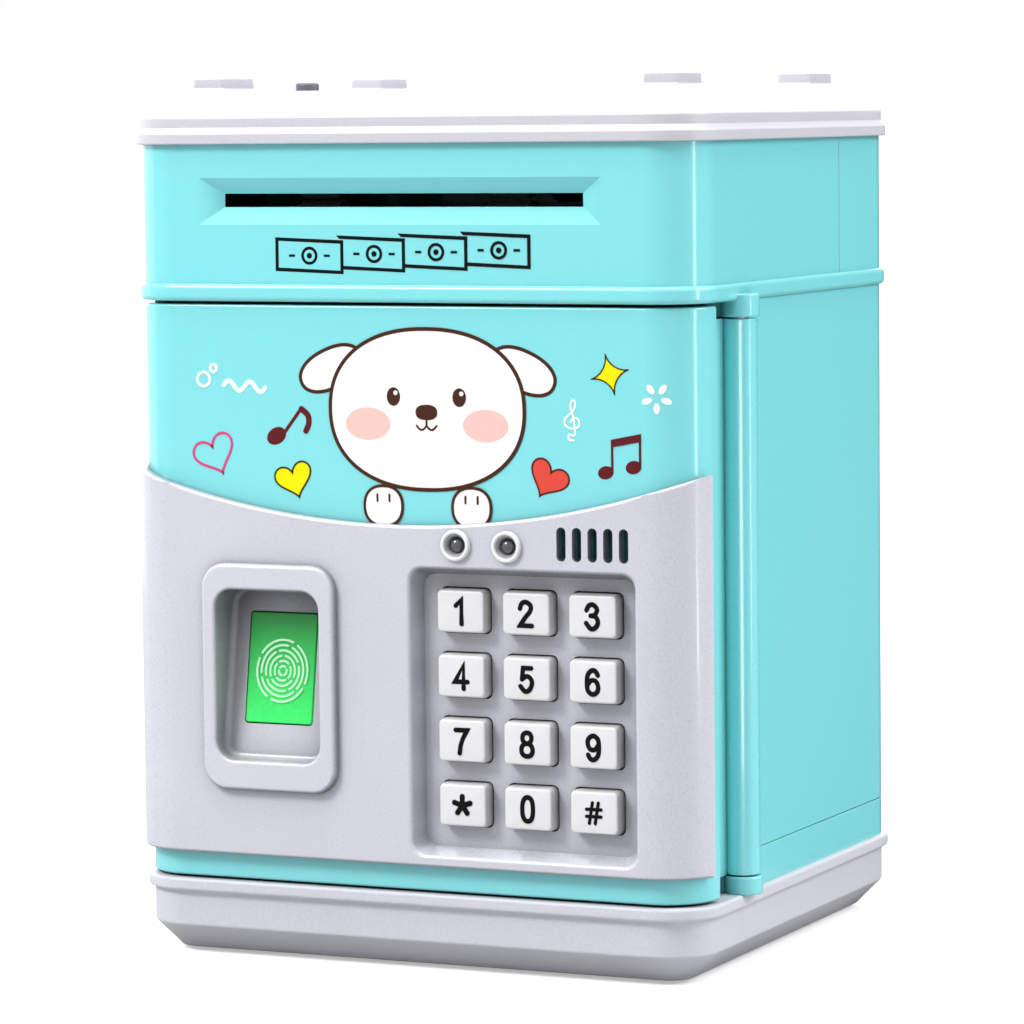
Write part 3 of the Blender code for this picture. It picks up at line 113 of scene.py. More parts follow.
COIN_SLOT_HALF = (15, 1.7)
PLATE_FRONT = -61.8
PLATE_RADIUS = 12.6
PLATE_THICK = 2.2
PLATE_SIDE_THICK = 1.5
PLATE_BACK = -52.3
PLATE_ARC_RADIUS = 200
PLATE_ARC_LOWEST = 94.8
KEYPAD = ((1.8, 25.4), (53.2, 86))
KEYPAD_FLOOR = -57.3
KEYPAD_SLOPE = 1.5
KEYPAD_RADIUS = 2.8
ROOM_BACK = -54.4
GRILLE_X = 43.75
GRILLE_Z = 91.85
GRILLE_PITCH = 3.5
GRILLE_HALF = (1.05, 3.55)
READER = ((-46.7, 37.1), (-15.1, 85.8))
READER_FRONT = -63.6
READER_WALL = 1.5
POCKET = ((-43.4, 43.6), (-18.8, 80.1))
PAD_CENTRE = Spot(-31, -56.55, 62.95)
PAD_LEAN = math.radians(9)
PAD_PLACE = Matrix.Translation(Vector(PAD_CENTRE) * MM) @ Matrix.Rotation(-PAD_LEAN, 4, "X")
PAD_HALF = (7.85, 11.75)
KEY_SYMBOLS = {"key_star": "*", "key_hash": "#", **{f"key_{digit}": str(digit) for digit in range(10)}}
GLYPH_HEIGHT = 5.1
GLYPH_WIDTHS = {"*": 1.15, "#": 0.7}
PRINT_LAYER = 0.035
UP = (0, 0, 1)
FORWARD = (0, -1, 0)

# The camera that matches the reference view.
CAMERA_PLACE = Vector((0.42235, -0.92800, 0.18148))
CAMERA_AZIMUTH = math.radians(24.60)
CAMERA_ELEVATION = math.radians(4.99)
CAMERA_ROLL = math.radians(-0.616)
CAMERA_LENS = 162.75

# Light levels. Each light is (name, place, size, power, point it faces).
FLOOR_GLOW = (0.42, 1.15)
WORLD_FILL = 0.42
WORLD_REFLECTED = 1.0
DARK_SIDE = Vector((0.40, 0.917, 0.0))
LIGHTS = (
    ("key", (-0.8, -1.0, 1.2), (0.5, 0.5), 21.5, (0, 0, 0.09)),
    ("top", (0.1, -0.15, 1.4), (0.8, 0.8), 14.0, (0, 0, 0.09)),
    ("side", (1.25, 0.50, 0.95), (0.7, 0.7), 13.0, (0, 0, 0.09)),
    ("strip", (0.62, -0.044, 0.13), (0.045, 0.34), 0.5, (0.065, -0.054, 0.13)),
    ("left", (-0.75, 0.30, 0.16), (1.1, 0.5), 1.9, (-0.065, 0, 0.1)),
    ("rear", (-0.5, 1.3, 0.8), (1.0, 1.0), 8.0, (0, 0, 0.09)),
)


# ---- materials

class Nodes:
    """A short way to wire the nodes of a material or of the world."""

    def __init__(self, owner):
        owner.use_nodes = True
        self.owner = owner
        self.tree = owner.node_tree
        self.place = self.add("TexCoord", "Object")

    def fill(self, node, inputs):
        """Gives each input its value, or links it to the socket that feeds it."""
        for key, value in inputs.items():
            socket = node.inputs[key]
            if hasattr(value, "is_linked"):
                self.tree.links.new(value, socket)
            else:
                socket.default_value = (*value, 1.0) if socket.type == "RGBA" else value

    def add(self, kind, output, inputs=None, **settings):
        """Adds a node and returns one of its outputs."""
        node = self.tree.nodes.new("ShaderNode" + kind)
        for key, value in settings.items():
            setattr(node, key, value)
        self.fill(node, inputs or {})
        return node.outputs[output]

    def shade(self, inputs, shader="Principled BSDF"):
        """Feeds the shader and returns the finished material or world."""
        self.fill(self.tree.nodes[shader], inputs)
        return self.owner

    def noise(self, scale, detail=2.0, roughness=0.5):
        inputs = {"Vector": self.place, "Scale": scale, "Detail": detail, "Roughness": roughness}
        return self.add("TexNoise", "Fac", inputs)

    def spread(self, value, start, end, low=0.0, high=1.0):
        """Maps start to end onto low to high."""
        inputs = {"Value": value, "From Min": start, "From Max": end, "To Min": low, "To Max": high}
        return self.add("MapRange", "Result", inputs)

    def between(self, noise, low, high):
        """Maps the middle of a noise's range onto low to high."""
        return self.spread(noise, 0.3, 0.7, low, high)

    def mix(self, share, first, second, data_type="RGBA"):
        return self.add("Mix", "Result", {"Factor": share, "A": first, "B": second}, data_type=data_type)

    def math(self, operation, first, second):
        return self.add("Math", "Value", {0: first, 1: second}, operation=operation)

    def dot(self, first, second):
        return self.add("VectorMath", "Value", {0: first, 1: second}, operation="DOT_PRODUCT")

    def bump(self, height, depth):
        return self.add("Bump", "Normal", {"Height": height, "Distance": depth * MM})

    def closeness(self, reach, power):
        """1 in the open and lower in corners, gaps and recesses."""
        openness = self.add("AmbientOcclusion", "AO", {"Distance": reach * MM}, samples=6)
        return self.math("POWER", openness, power)

    def height(self, vector):
        return self.add("SeparateXYZ", "Z", {"Vector": vector})

    def downward(self, strength):
        """Up to strength on faces that look down, where little of the studio's light comes in."""
        return self.spread(self.height(self.add("NewGeometry", "Normal")), -0.1, -1.0, 0.0, strength)

    def edge_mask(self, radius):
        """1 on a convex edge, 0 on the flat: how far a rounded normal leaves the true one."""
        soft = self.add("Bevel", "Normal", {"Radius": radius * MM}, samples=4)
        return self.spread(self.dot(soft, self.add("NewGeometry", "Normal")), 1.0, 0.8)

    def facing_dark(self, vector):
        """1 where a direction or floor point lies behind the bank on its right, where the studio is dark."""
        unit = self.add("VectorMath", "Vector", {0: vector}, operation="NORMALIZE")
        return self.spread(self.dot(unit, DARK_SIDE), 0.82, 0.93)


MATERIALS = {}
INKS = {}
TURQUOISE = (134, 228, 232)


def display(colour):
    """Linear colour of a display colour from 0 to 255."""
    values = [value / 255 for value in colour]
    return [value / 12.92 if value <= 0.04045 else ((value + 0.055) / 1.055) ** 2.4 for value in values]


def scaled(colour, factor):
    return [min(value * factor, 1.0) for value in colour]


def plastic(
    name, colour, roughness, grain=900, grain_depth=0.01, speckle=0.02,
    edge=0.25, coat=0, painted_shade=0, under=0, reach=7,
):
    """Moulded plastic: colour drift, a fine spark texture and uneven gloss, with a painted highlight on
    convex edges, painted shade in recesses and painted shade on faces that look down.
    """
    colour = display(colour)
    nodes = Nodes(bpy.data.materials.new(name))
    fine = nodes.noise(grain, 4.0, 0.6)
    light = scaled(colour, 1 + speckle)
    slow = nodes.mix(nodes.noise(35.0, 3.0), scaled(colour, 1 - speckle), light)
    spots = nodes.mix(nodes.between(fine, 0.0, 1.0), scaled(colour, 1 - 1.5 * speckle), light)
    body = nodes.mix(0.5, slow, spots)
    # Painted highlight: convex edges get a paler colour, as if a rounded edge caught the light.
    if edge:
        pale = [value + (1 - value) * 0.35 for value in colour]
        body = nodes.mix(nodes.math("MULTIPLY", nodes.edge_mask(0.5), edge), body, pale)
    # Painted shade: the colour darkens towards near black in recesses, gaps and corners, where less of the
    # studio's light reaches.
    if painted_shade:
        body = nodes.mix(nodes.closeness(reach, painted_shade), scaled(colour, 0.12), body)
    # Painted shade: faces that look down get darker, because little of the studio's light reaches them.
    if under:
        body = nodes.mix(nodes.downward(under), body, scaled(colour, 0.1))
    MATERIALS[name] = nodes.shade({
        "Base Color": body,
        "Roughness": nodes.between(fine, roughness * 0.85, roughness * 1.15),
        "Normal": nodes.bump(fine, grain_depth),
        "Coat Weight": coat,
        "Coat Roughness": 0.08,
    })


def metal(name, colour, roughness):
    """Plated or drawn metal with fine brushing along one axis."""
    colour = display(colour)
    nodes = Nodes(bpy.data.materials.new(name))
    nodes.place = nodes.add("Mapping", "Vector", {"Vector": nodes.place, "Scale": (1.0, 1.0, 12.0)})
    brushed = nodes.noise(1500.0, 3.0)
    MATERIALS[name] = nodes.shade({
        "Base Color": nodes.mix(brushed, scaled(colour, 0.86), scaled(colour, 1.06)),
        "Roughness": nodes.between(brushed, roughness * 0.7, roughness * 1.4),
        "Normal": nodes.bump(brushed, 0.01),
        "Metallic": 1.0,
    })


def ink(name, colour):
    """Pad-printed ink: even colour with slightly mottled cover."""
    colour = display(colour)
    nodes = Nodes(bpy.data.materials.new("ink_" + name))
    mottle = nodes.noise(700.0, 3.0)
    INKS[name] = nodes.shade({
        "Base Color": nodes.mix(mottle, scaled(colour, 0.95), scaled(colour, 1.04)),
        "Roughness": nodes.between(mottle, 0.4, 0.55),
        "Normal": nodes.bump(mottle, 0.004),
        "Specular IOR Level": 0.12,
    })


def lit_window(name, top, bottom):
    """The pad's back-lit window, brighter towards its lower edge; its darker top is painted shade from the
    pocket's top wall.
    """
    nodes = Nodes(bpy.data.materials.new(name))
    z_low, z_high = [(PAD_CENTRE.z + side * PAD_HALF[1]) * MM for side in (-1, 1)]
    # Painted shade: the glow fades to the darker top colour, where the pocket's top wall shades the pad.
    glow = nodes.mix(nodes.spread(nodes.height(nodes.place), z_low, z_high), display(bottom), display(top))
    glow = nodes.mix(nodes.between(nodes.noise(900.0), 0.0, 0.12), glow, scaled(display(top), 0.8))
    inputs = {"Base Color": glow, "Emission Color": glow, "Emission Strength": 0.45, "Roughness": 0.3}
    MATERIALS[name] = nodes.shade(inputs)


def make_materials():
    # A plastic can carry a painted highlight on convex edges and painted shade in recesses and on faces that
    # look down.
    plastic("body_plastic", TURQUOISE, 0.22, 900, 0.004, 0.012, edge=0.3, coat=0.35, painted_shade=0.42)
    plastic("barrel_plastic", TURQUOISE, 0.3, 2200, 0.006, 0.012, edge=0, coat=0.6)
    plastic("base_plastic", (212, 212, 219), 0.42, 2200, 0.012, 0.08, painted_shade=0.08)
    plastic("lid_plastic", (206, 205, 214), 0.4, 2200, 0.01, 0.07, painted_shade=0.6)
    plate_look = {"edge": 0.5, "coat": 0.5, "painted_shade": 0.95, "under": 0.75}
    plastic("faceplate_plastic", (208, 208, 218), 0.3, 2200, 0.012, 0.09, **plate_look)
    bezel_look = {"edge": 0.4, "painted_shade": 1.5, "under": 0.85, "reach": 13}
    plastic("bezel_plastic", (210, 210, 219), 0.3, 2200, 0.008, 0.06, **bezel_look)
    plastic("key_plastic", (230, 230, 231), 0.36, 2200, 0.008, 0.04, edge=0.5, painted_shade=0.8)
    plastic("inner_plastic", (196, 197, 202), 0.5, 900, 0.02, 0.03)
    # The collar's near-white is partly its own colour and partly a painted highlight on its rounded rim.
    plastic("collar_plastic", (238, 238, 240), 0.22, 900, 0.004, 0.01, coat=0.3)
    plastic("lamp_cup", (200, 201, 204), 0.2, edge=0, coat=0.6, painted_shade=0.9)
    plastic("lamp_lens", (70, 72, 76), 0.12, 900, 0.001, edge=0, coat=1)
    plastic("dark_plastic", (92, 93, 97), 0.4, 900, 0.02, 0.05)
    plastic("black_plastic", (26, 28, 30), 0.5, 900, 0.02, 0.06)
    plastic("gear_plastic", (232, 232, 228), 0.4)
    plastic("foot_rubber", (58, 58, 60), 0.8, 500, 0.05, 0.06)
    plastic("roller_rubber", (46, 46, 48), 0.85, 500, 0.05, 0.06)
    plastic("cable_jacket", (34, 34, 36), 0.5, 500, 0.02, 0.05)
    plastic("cell_jacket", (58, 64, 84), 0.25, speckle=0.03, coat=0.5)
    plastic("board_laminate", (28, 92, 58), 0.35, speckle=0.06, coat=0.3)
    metal("fastener_steel", (188, 190, 194), 0.3)
    metal("spring_steel", (198, 200, 204), 0.25)
    metal("motor_can", (176, 178, 182), 0.32)
    metal("pinion_brass", (204, 172, 98), 0.3)
    lit_window("green_window", (18, 112, 44), (52, 216, 98))
    ink("white", (250, 250, 250))
    ink("mint", (196, 246, 208))
    ink("brown", (72, 40, 26))
    ink("wine", (98, 30, 34))
    ink("pink", (222, 74, 136))
    ink("blush", (248, 202, 194))
    ink("red", (228, 80, 66))
    ink("yellow", (250, 238, 10))
    ink("black", (7, 7, 9))


# ---- outlines

def metres(point):
    return Vector([value * MM for value in point])


def arc(start, sweep, steps):
    """Points on the unit circle, with both ends of the arc. Angles are in degrees."""
    angles = [math.radians(start + sweep * step / steps) for step in range(steps + 1)]
    return [(math.cos(angle), math.sin(angle)) for angle in angles]


def oval(half_x, half_z, power=2.0, count=64):
    """An ellipse, a squarer superellipse with a power above 2, or a pointed star with one below 1."""
    points = []
    for cosine, sine in arc(0, 360, count)[:-1]:
        x = half_x * math.copysign(abs(cosine) ** (2 / power), cosine)
        z = half_z * math.copysign(abs(sine) ** (2 / power), sine)
        points.append((x, z))
    return points


def smooth_path(points, steps=6):
    """A Catmull-Rom curve through the points."""
    result = []
    padded = [points[0], *points, points[-1]]
    for corners in zip(padded, padded[1:], padded[2:], padded[3:]):
        for step in range(steps):
            t = step / steps
            point = []
            for a, b, c, d in zip(*corners):
                square, cube = 2 * a - 5 * b + 4 * c - d, 3 * b - a - 3 * c + d
                point.append((2 * b + (c - a) * t + square * t**2 + cube * t**3) / 2)
            result.append(tuple(point))
    return result + [points[-1]]


def placed(points, centre, size=1.0, turn=0.0):
    """Points scaled, turned in degrees and moved to a centre."""
    cosine, sine = math.cos(math.radians(turn)), math.sin(math.radians(turn))
    turned_points = [(x * cosine - z * sine, x * sine + z * cosine) for x, z in points]
    return [(centre[0] + size * x, centre[1] + size * z) for x, z in turned_points]


def around(half_x, half_z, x=0.0, z=0.0):
    """The low and high corner of a rectangle round a centre."""
    return (x - half_x, z - half_z), (x + half_x, z + half_z)


def grown(corners, margin):
    """A rectangle with each side moved out by the margin."""
    (x_low, z_low), (x_high, z_high) = corners
    return (x_low - margin, z_low - margin), (x_high + margin, z_high + margin)


def ring(half_a, half_b, radius, steps=CORNER_STEPS):
    """Points round a rectangle with rounded corners."""
    radius = max(radius, 0.02)
    points = []
    for quarter, (sign_a, sign_b) in enumerate(((1, 1), (-1, 1), (-1, -1), (1, -1))):
        centre = (sign_a * (half_a - radius), sign_b * (half_b - radius))
        points += placed(arc(90 * quarter, 90, steps), centre, radius)
    return points


def rounded(points, steps=4, closed=False):
    """A profile whose corners are rounded. Each point is (inset, level, corner radius)."""
    result = []
    count = len(points)
    for index, (inset, level, radius) in enumerate(points):
        here = metres((inset, level))
        if radius == 0 or (not closed and index in (0, count - 1)):
            result.append(here)
            continue
        back = metres(points[index - 1][:2]) - here
        ahead = metres(points[(index + 1) % count][:2]) - here
        half = back.angle(ahead) / 2
        reach = min(radius * MM / math.tan(half), back.length * 0.49, ahead.length * 0.49)
        size = reach * math.tan(half)
        centre = here + (back.normalized() + ahead.normalized()).normalized() * size / math.sin(half)
        start = here + back.normalized() * reach - centre
        end = here + ahead.normalized() * reach - centre
        turn = start.angle_signed(end)
        for step in range(steps + 1):
            result.append(centre + Matrix.Rotation(-turn * step / steps, 2) @ start)
    return [[value / MM for value in point] for point in result]


# ---- mesh tools

def mesh_object(name, bm):
    mesh = bpy.data.meshes.new(name)
    bm.to_mesh(mesh)
    bm.free()
    obj = bpy.data.objects.new(name, mesh)
    bpy.context.scene.collection.objects.link(obj)
    return obj


def bridge(bm, rings, closed=False):
    """Quads between rings of equal length. An open row of rings gets a cap at both ends."""
    loops = [[bm.verts.new(point) for point in points] for points in rings]
    for first, second in zip(loops, loops[1:] + loops[:closed]):
        for index in range(len(first)):
            other = (index + 1) % len(first)
            bm.faces.new((first[index], first[other], second[other], second[index]))
    if not closed:
        bm.faces.new(loops[0])
        bm.faces.new(loops[-1])


def loft(name, rings, closed=False):
    bm = bmesh.new()
    bridge(bm, rings, closed)
    bmesh.ops.recalc_face_normals(bm, faces=bm.faces)
    return mesh_object(name, bm)


def upright(name, half_x, half_y, radius, profile, closed=False, steps=CORNER_STEPS):
    """A loft standing on the footprint. The profile lists (inset, height)."""
    rings = []
    for inset, level in profile:
        outline = ring(half_x - inset, half_y - inset, radius - inset, steps)
        rings.append([metres((x, y, level)) for x, y in outline])
    return loft(name, rings, closed)


def facing_ring(corners, radius, depth, steps):
    """Points round an (x, z) rectangle with rounded corners at a depth."""
    (x_low, z_low), (x_high, z_high) = corners
    outline = ring((x_high - x_low) / 2, (z_high - z_low) / 2, radius, steps)
    centre = ((x_low + x_high) / 2, (z_low + z_high) / 2)
    return [metres((x, depth, z)) for x, z in placed(outline, centre)]


def facing(name, corners, radius, profile, steps=8):
    """A loft that faces forward, round an (x, z) rectangle. The profile lists (inset, depth)."""
    rings = [facing_ring(grown(corners, -inset), radius - inset, depth, steps) for inset, depth in profile]
    return loft(name, rings)


def block(corners, radius, front, back, steps=8):
    """A straight block with rounded corners, to add or to cut away."""
    return facing("block", corners, radius, [(0, front), (0, back)], steps)


def funnel(outer, inner, front, back, radius=0.0, steps=1):
    """A cutter that narrows from one (x, z) rectangle to another, and starts a little in front."""
    rings = []
    for depth in (front - 0.2, back):
        share = (depth - front) / (back - front)
        corners = [[a + (b - a) * share for a, b in zip(*pair)] for pair in zip(outer, inner)]
        rings.append(facing_ring(corners, radius, depth, steps))
    return loft("funnel", rings)


def box(low, high):
    low, high = metres(low), metres(high)
    bm = bmesh.new()
    matrix = Matrix.Translation((low + high) / 2) @ Matrix.Diagonal((*(high - low), 1))
    bmesh.ops.create_cube(bm, size=1.0, matrix=matrix)
    return mesh_object("box", bm)


def rod(radius, start, end, segments=48):
    start, end, radius = metres(start), metres(end), radius * MM
    bm = bmesh.new()
    turn = (end - start).to_track_quat("Z", "Y").to_matrix().to_4x4()
    matrix = Matrix.Translation((start + end) / 2) @ turn
    depth = (end - start).length
    bmesh.ops.create_cone(
        bm, cap_ends=True, segments=segments, radius1=radius, radius2=radius, depth=depth, matrix=matrix
    )
    return mesh_object("rod", bm)


def turned(name, profile, place, towards, segments=40, closed=False):
    """A turned solid: (radius, height) pairs, with the height measured from place along towards."""
    turn = Vector(towards).to_track_quat("Z", "Y").to_matrix()
    rings = []
    for radius, height in profile:
        radius = max(radius, 0.01)
        circle = oval(radius, radius, count=segments)
        rings.append([metres(place) + turn @ metres((x, y, height)) for x, y in circle])
    return loft(name, rings, closed)


def bake(obj):
    """Applies the object's modifiers."""
    graph = bpy.context.evaluated_depsgraph_get()
    mesh = bpy.data.meshes.new_from_object(obj.evaluated_get(graph))
    obj.modifiers.clear()
    obj.data = mesh


def boolean(obj, operation, others):
    for other in others:
        modifier = obj.modifiers.new("boolean", "BOOLEAN")
        modifier.operation = operation
        modifier.solver = "EXACT"
        modifier.object = other
    bake(obj)
    for other in others:
        bpy.data.objects.remove(other, do_unlink=True)


def cut(obj, *others):
    boolean(obj, "DIFFERENCE", others)


def join(obj, *others):
    boolean(obj, "UNION", others)


def bevel_where(obj, width, segments, wanted, clamp=True):
    """Rounds the sharp edges whose two ends both satisfy wanted(point)."""
    bm = bmesh.new()
    bm.from_mesh(obj.data)
    sharp = math.radians(30)
    edges = [
        edge
        for edge in bm.edges
        if len(edge.link_faces) == 2
        and edge.calc_face_angle(0) > sharp
        and all(wanted(vertex.co / MM) for vertex in edge.verts)
    ]
    bmesh.ops.bevel(
        bm, geom=edges, offset=width * MM, segments=segments, profile=0.5, affect="EDGES", clamp_overlap=clamp
    )
    bm.to_mesh(obj.data)
    bm.free()


def near(corners, depth_at):
    """A test for bevel_where: inside an (x, z) rectangle, at a depth that may change with the height."""
    (x_low, z_low), (x_high, z_high) = grown(corners, 0.2)

    def wanted(point):
        inside = x_low < point.x < x_high and z_low < point.z < z_high
        return inside and abs(point.y - depth_at(point.z)) < 0.05

    return wanted


def soften(obj, edge, segments=2):
    """Small rounded edges."""
    bevel = obj.modifiers.new("Edges", "BEVEL")
    bevel.width = edge * MM
    bevel.segments = segments
    bevel.limit_method = "ANGLE"
    bevel.angle_limit = math.radians(32)


def paint(obj, material, weight):
    """Even shading over rounded edges, the material and the slot. Returns the modifier that shades."""
    normals = obj.modifiers.new("Normals", "WEIGHTED_NORMAL")
    normals.weight = weight
    obj.data.materials.clear()
    obj.data.materials.append(MATERIALS[material])
    return normals


def finish(obj, body, slot, node=None, edge=0.2, segments=2, material=None):
    """Rounded edges, shading, material, the body that the piece rides on and the node it replaces."""
    if edge:
        soften(obj, edge, segments)
        bake(obj)
    obj.data.shade_smooth()
    obj.data.set_sharp_from_angle(angle=math.radians(36))
    paint(obj, material or slot, 90).keep_sharp = True
    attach(obj, body)
    if node:
        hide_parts(node)


def dress(node, slot):
    """A CAD node that keeps its shape: welded, with small rounded edges and its own material."""
    obj = frame["nodes"][node]
    weld = obj.modifiers.new("Weld", "WELD")
    weld.merge_threshold = 0.001 * MM
    soften(obj, 0.15)
    paint(obj, slot, 80)


# ---- cabinet

def wall_ring(name, z_low, z_high, edge=0.35):
    """The cabinet's wall all round, with softened rims."""
    corners = [(0, z_low, edge), (0, z_high, edge), (WALL, z_high, edge / 2), (WALL, z_low, edge / 2)]
    return upright(name, HALF_X, HALF_Y, CORNER_RADIUS, rounded(corners, 3, closed=True), closed=True)


def open_front(wall, corner_x, top=2 * FAR):
    """Cuts away the front, and the front right corner from corner_x on."""
    cut(
        wall,
        box((-FAR, -FAR, 0), (FAR, SHELL_FRONT_LEFT, top)),
        box((corner_x, -FAR, 0), (FAR, SHELL_FRONT_RIGHT, top)),
    )


def hinge_post(name, radius, z_low, z_high, rim, steps=3, segments=48):
    """A cylinder round the hinge's axis, with softened rims."""
    profile = rounded([(0, z_low, 0), (radius, z_low, rim), (radius, z_high, rim), (0, z_high, 0)], steps)
    return turned(name, profile, (HINGE.x, HINGE.y, 0), UP, segments)


def hinge_lug(z_low, z_high, web_high):
    """A fixed lug round the hinge pin, with the web that ties it to the wall."""
    web = box((59, HINGE.y - 2.4, z_low), (HINGE.x, HINGE.y + 5, web_high))
    return web, hinge_post("lug", LUG_RADIUS, z_low, z_high, 0.45)


def pin_hole(z_low, z_high):
    return rod(PIN_HOLE, (HINGE.x, HINGE.y, z_low), (HINGE.x, HINGE.y, z_high))


def make_base():
    """The base tray, with the battery well, its ledge and screw hole, and the seats of the feet."""
    flange_x, flange_y, bottom = -BASE.low.x, -BASE.low.y, BASE.low.z
    step = flange_x - HALF_X
    profile = rounded([
        (step + BASE_CHAMFER + 12, bottom, 0),
        (step + BASE_CHAMFER, bottom, 0.8),
        (step, bottom + BASE_CHAMFER, 1),
        (step, BASE_FLANGE_LOW, 0.35),
        (0, BASE_FLANGE_LOW, 0.7),
        (0, BASE_TOP, 0.7),
        (step + 2, BASE_TOP, 0),
    ])
    base = upright("base_tray_shell", flange_x, flange_y, FLANGE_RADIUS, profile)
    cell = node_box("battery_cell_3").high
    well = Spot(cell.x + 0.9, node_box("battery_contact_rear").high.y + 0.25, cell.z + 0.5)
    cut(base, box((-52, -46, 7), (52, 46, FAR)))
    join(base, box((-well.x - 1.5, -well.y - 1.5, 3), (well.x + 1.5, well.y + 1.5, 19.7)))
    cover = node_box("battery_cover")
    screw_y = node_box("battery_cover_screw").middle.y
    gap = 0.3
    cutters = [
        box((-well.x, -well.y, -1), well),
        box((cover.low.x - gap, cover.low.y - gap, -1), (cover.high.x + gap, -cover.low.y + gap, 2.2)),
        box((-5.3, 20, -1), (5.3, cover.high.y + gap, 3.2)),
        rod(1.7, (0, screw_y, 0), (0, screw_y, 6.9)),
    ]
    for name in ("front_left", "front_right", "rear_left", "rear_right"):
        _, high, (x, y, _) = node_box("foot_" + name)
        cutters.append(rod(high.x - x + gap, (x, y, -1), (x, y, high.z + gap)))
    cut(base, *cutters)
    finish(base, "cabinet", "base_plastic", "base_tray", 0.25)


def make_sill():
    """The turquoise band between base and cabinet, with the lower hinge lug."""
    z_low, z_high = BASE_TOP - 0.15, BODY.low.z - 0.05
    lug_top = SILL.low.z + LUG_HEIGHT
    sill = wall_ring("sill_band", z_low, z_high, 0.2)
    open_front(sill, SILL_CORNER, FAR)
    join(
        sill,
        box((-64, SHELL_FRONT_LEFT, z_low), (SILL_CORNER, -42.8, z_high)),
        box((58.5, -43.4, z_low), (SILL_CORNER, -28.4, z_high)),
        box((58.5, SHELL_FRONT_RIGHT, z_low), (64, -27.7, z_high)),
        *hinge_lug(z_low, lug_top, lug_top),
    )
    cut(sill, pin_hole(17.5, FAR))
    finish(sill, "cabinet", "body_plastic", "sill_frame", 0.12)


def make_body_shell():
    """Left, rear and right walls, open at the front, with the lock strike inside the left wall."""
    shell = wall_ring("cabinet_walls", BODY.low.z, DECK_LOW + 0.1)
    open_front(shell, 40)
    bolt_z = node_box("lock_bolt").middle.z
    join(shell, box((-64.5, -46.7, bolt_z - 9), (-57.6, -44.3, bolt_z + 9)))
    finish(shell, "cabinet", "body_plastic", "body_shell", 0.3, 3)


def make_deck():
    """The belt round the body and the deck behind it, with the upper hinge lug and the drop opening."""
    half_x, half_y, top = -DECK.low.x, -DECK.low.y, DECK.high.z + 0.1
    corners = [(30, DECK_LOW, 0), (0, DECK_LOW, 1.1), (0, top, 1.6), (half_x - HALF_X + 1, top, 0)]
    deck = upright("belt_and_deck", half_x, half_y, CORNER_RADIUS + 0.9, rounded(corners, 5))
    join(deck, *hinge_lug(DECK_LOW - LUG_HEIGHT, DECK_LOW + 1.5, DECK_LOW + 1))
    cut(
        deck,
        box((-42, -34, 100), (38, 9, 160)),
        rod(2, (56, 48, 130), (56, 48, 160)),
        pin_hole(130, DECK_LOW + 1.2),
    )
    finish(deck, "cabinet", "body_plastic", "deck_plate")


def make_upper_housing():
    """Both halves of the upper housing, with the seam between them and the note slot in the front one."""
    z_low, z_high = DECK.high.z - 0.1, LID.low.z + 0.1
    front, rear = [wall_ring(name, z_low, z_high, 0.2) for name in ("upper_front", "upper_rear")]
    cut(front, box((-FAR, UPPER_SPLIT - UPPER_SEAM, 0), (FAR, FAR, 3 * FAR)))
    cut(rear, box((-FAR, -FAR, 0), (FAR, UPPER_SPLIT + UPPER_SEAM, 3 * FAR)))
    (x_low, z_low), (x_high, z_high) = grown(RECESS, 1)
    join(front, box((x_low, -HALF_Y + 1, z_low), (x_high, RECESS_FRAME_BACK, z_high)))
    (x_low, z_low), (x_high, z_high) = NOTE_SLOT
    recess_back = -HALF_Y + RECESS_DEPTH
    cut(
        front,
        funnel(RECESS, NOTE_SLOT, -HALF_Y, recess_back),
        box((x_low, -FAR, z_low), (x_high, NOTE_SLOT_BACK, z_high)),
        box((x_low - 6, recess_back + 0.3, z_low - 0.6), (x_high + 3.5, NOTE_SLOT_BACK, z_high + 0.6)),
    )
    finish(front, "cabinet", "body_plastic", "upper_housing_front", 0.12)
    finish(rear, "cabinet", "body_plastic", "upper_housing_rear", 0.12)


def make_lid():
    """The lid with its stepped flange and chamfer, four blocks, the coin slot and the button's hole."""
    half_x, half_y = -LID.low.x, -LID.low.y
    profile = rounded([
        (half_x - HALF_X + 2, LID.low.z, 0),
        (0, LID.low.z, 0.35),
        (0, LID_FLANGE_TOP, 0.5),
        (LID_TIER, LID_STEP_TOP, 0.3),
        (LID_TIER, LID_PLATEAU - LID_CHAMFER, 0.7),
        (LID_TIER + LID_CHAMFER, LID_PLATEAU, 0.9),
        (LID_TIER + LID_CHAMFER + 10, LID_PLATEAU, 0),
    ])
    lid = upright("lid_cover", half_x, half_y, FLANGE_RADIUS, profile)
    inner = half_x - HALF_X + WALL
    ceiling = LID_PLATEAU - LID_WALL
    hollow = [(inner, 150), (inner, ceiling - 4.5), (inner + 4.5, ceiling)]
    cut(lid, upright("hollow", half_x, half_y, FLANGE_RADIUS, hollow))
    for side_x in (-1, 1):
        for side_y in (-1, 1):
            join(lid, lid_block(side_x * BLOCK_CENTRE[0], side_y * BLOCK_CENTRE[1]))
    slot = upright("slot", *COIN_SLOT_HALF, 1.2, [(0, 200), (0, 150)], steps=8)
    x, y, _ = node_box("top_button").middle
    cut(lid, slot, rod(2.9, (x, y, 150), (x, y, 200)))
    finish(lid, "cabinet", "lid_plastic", "lid")


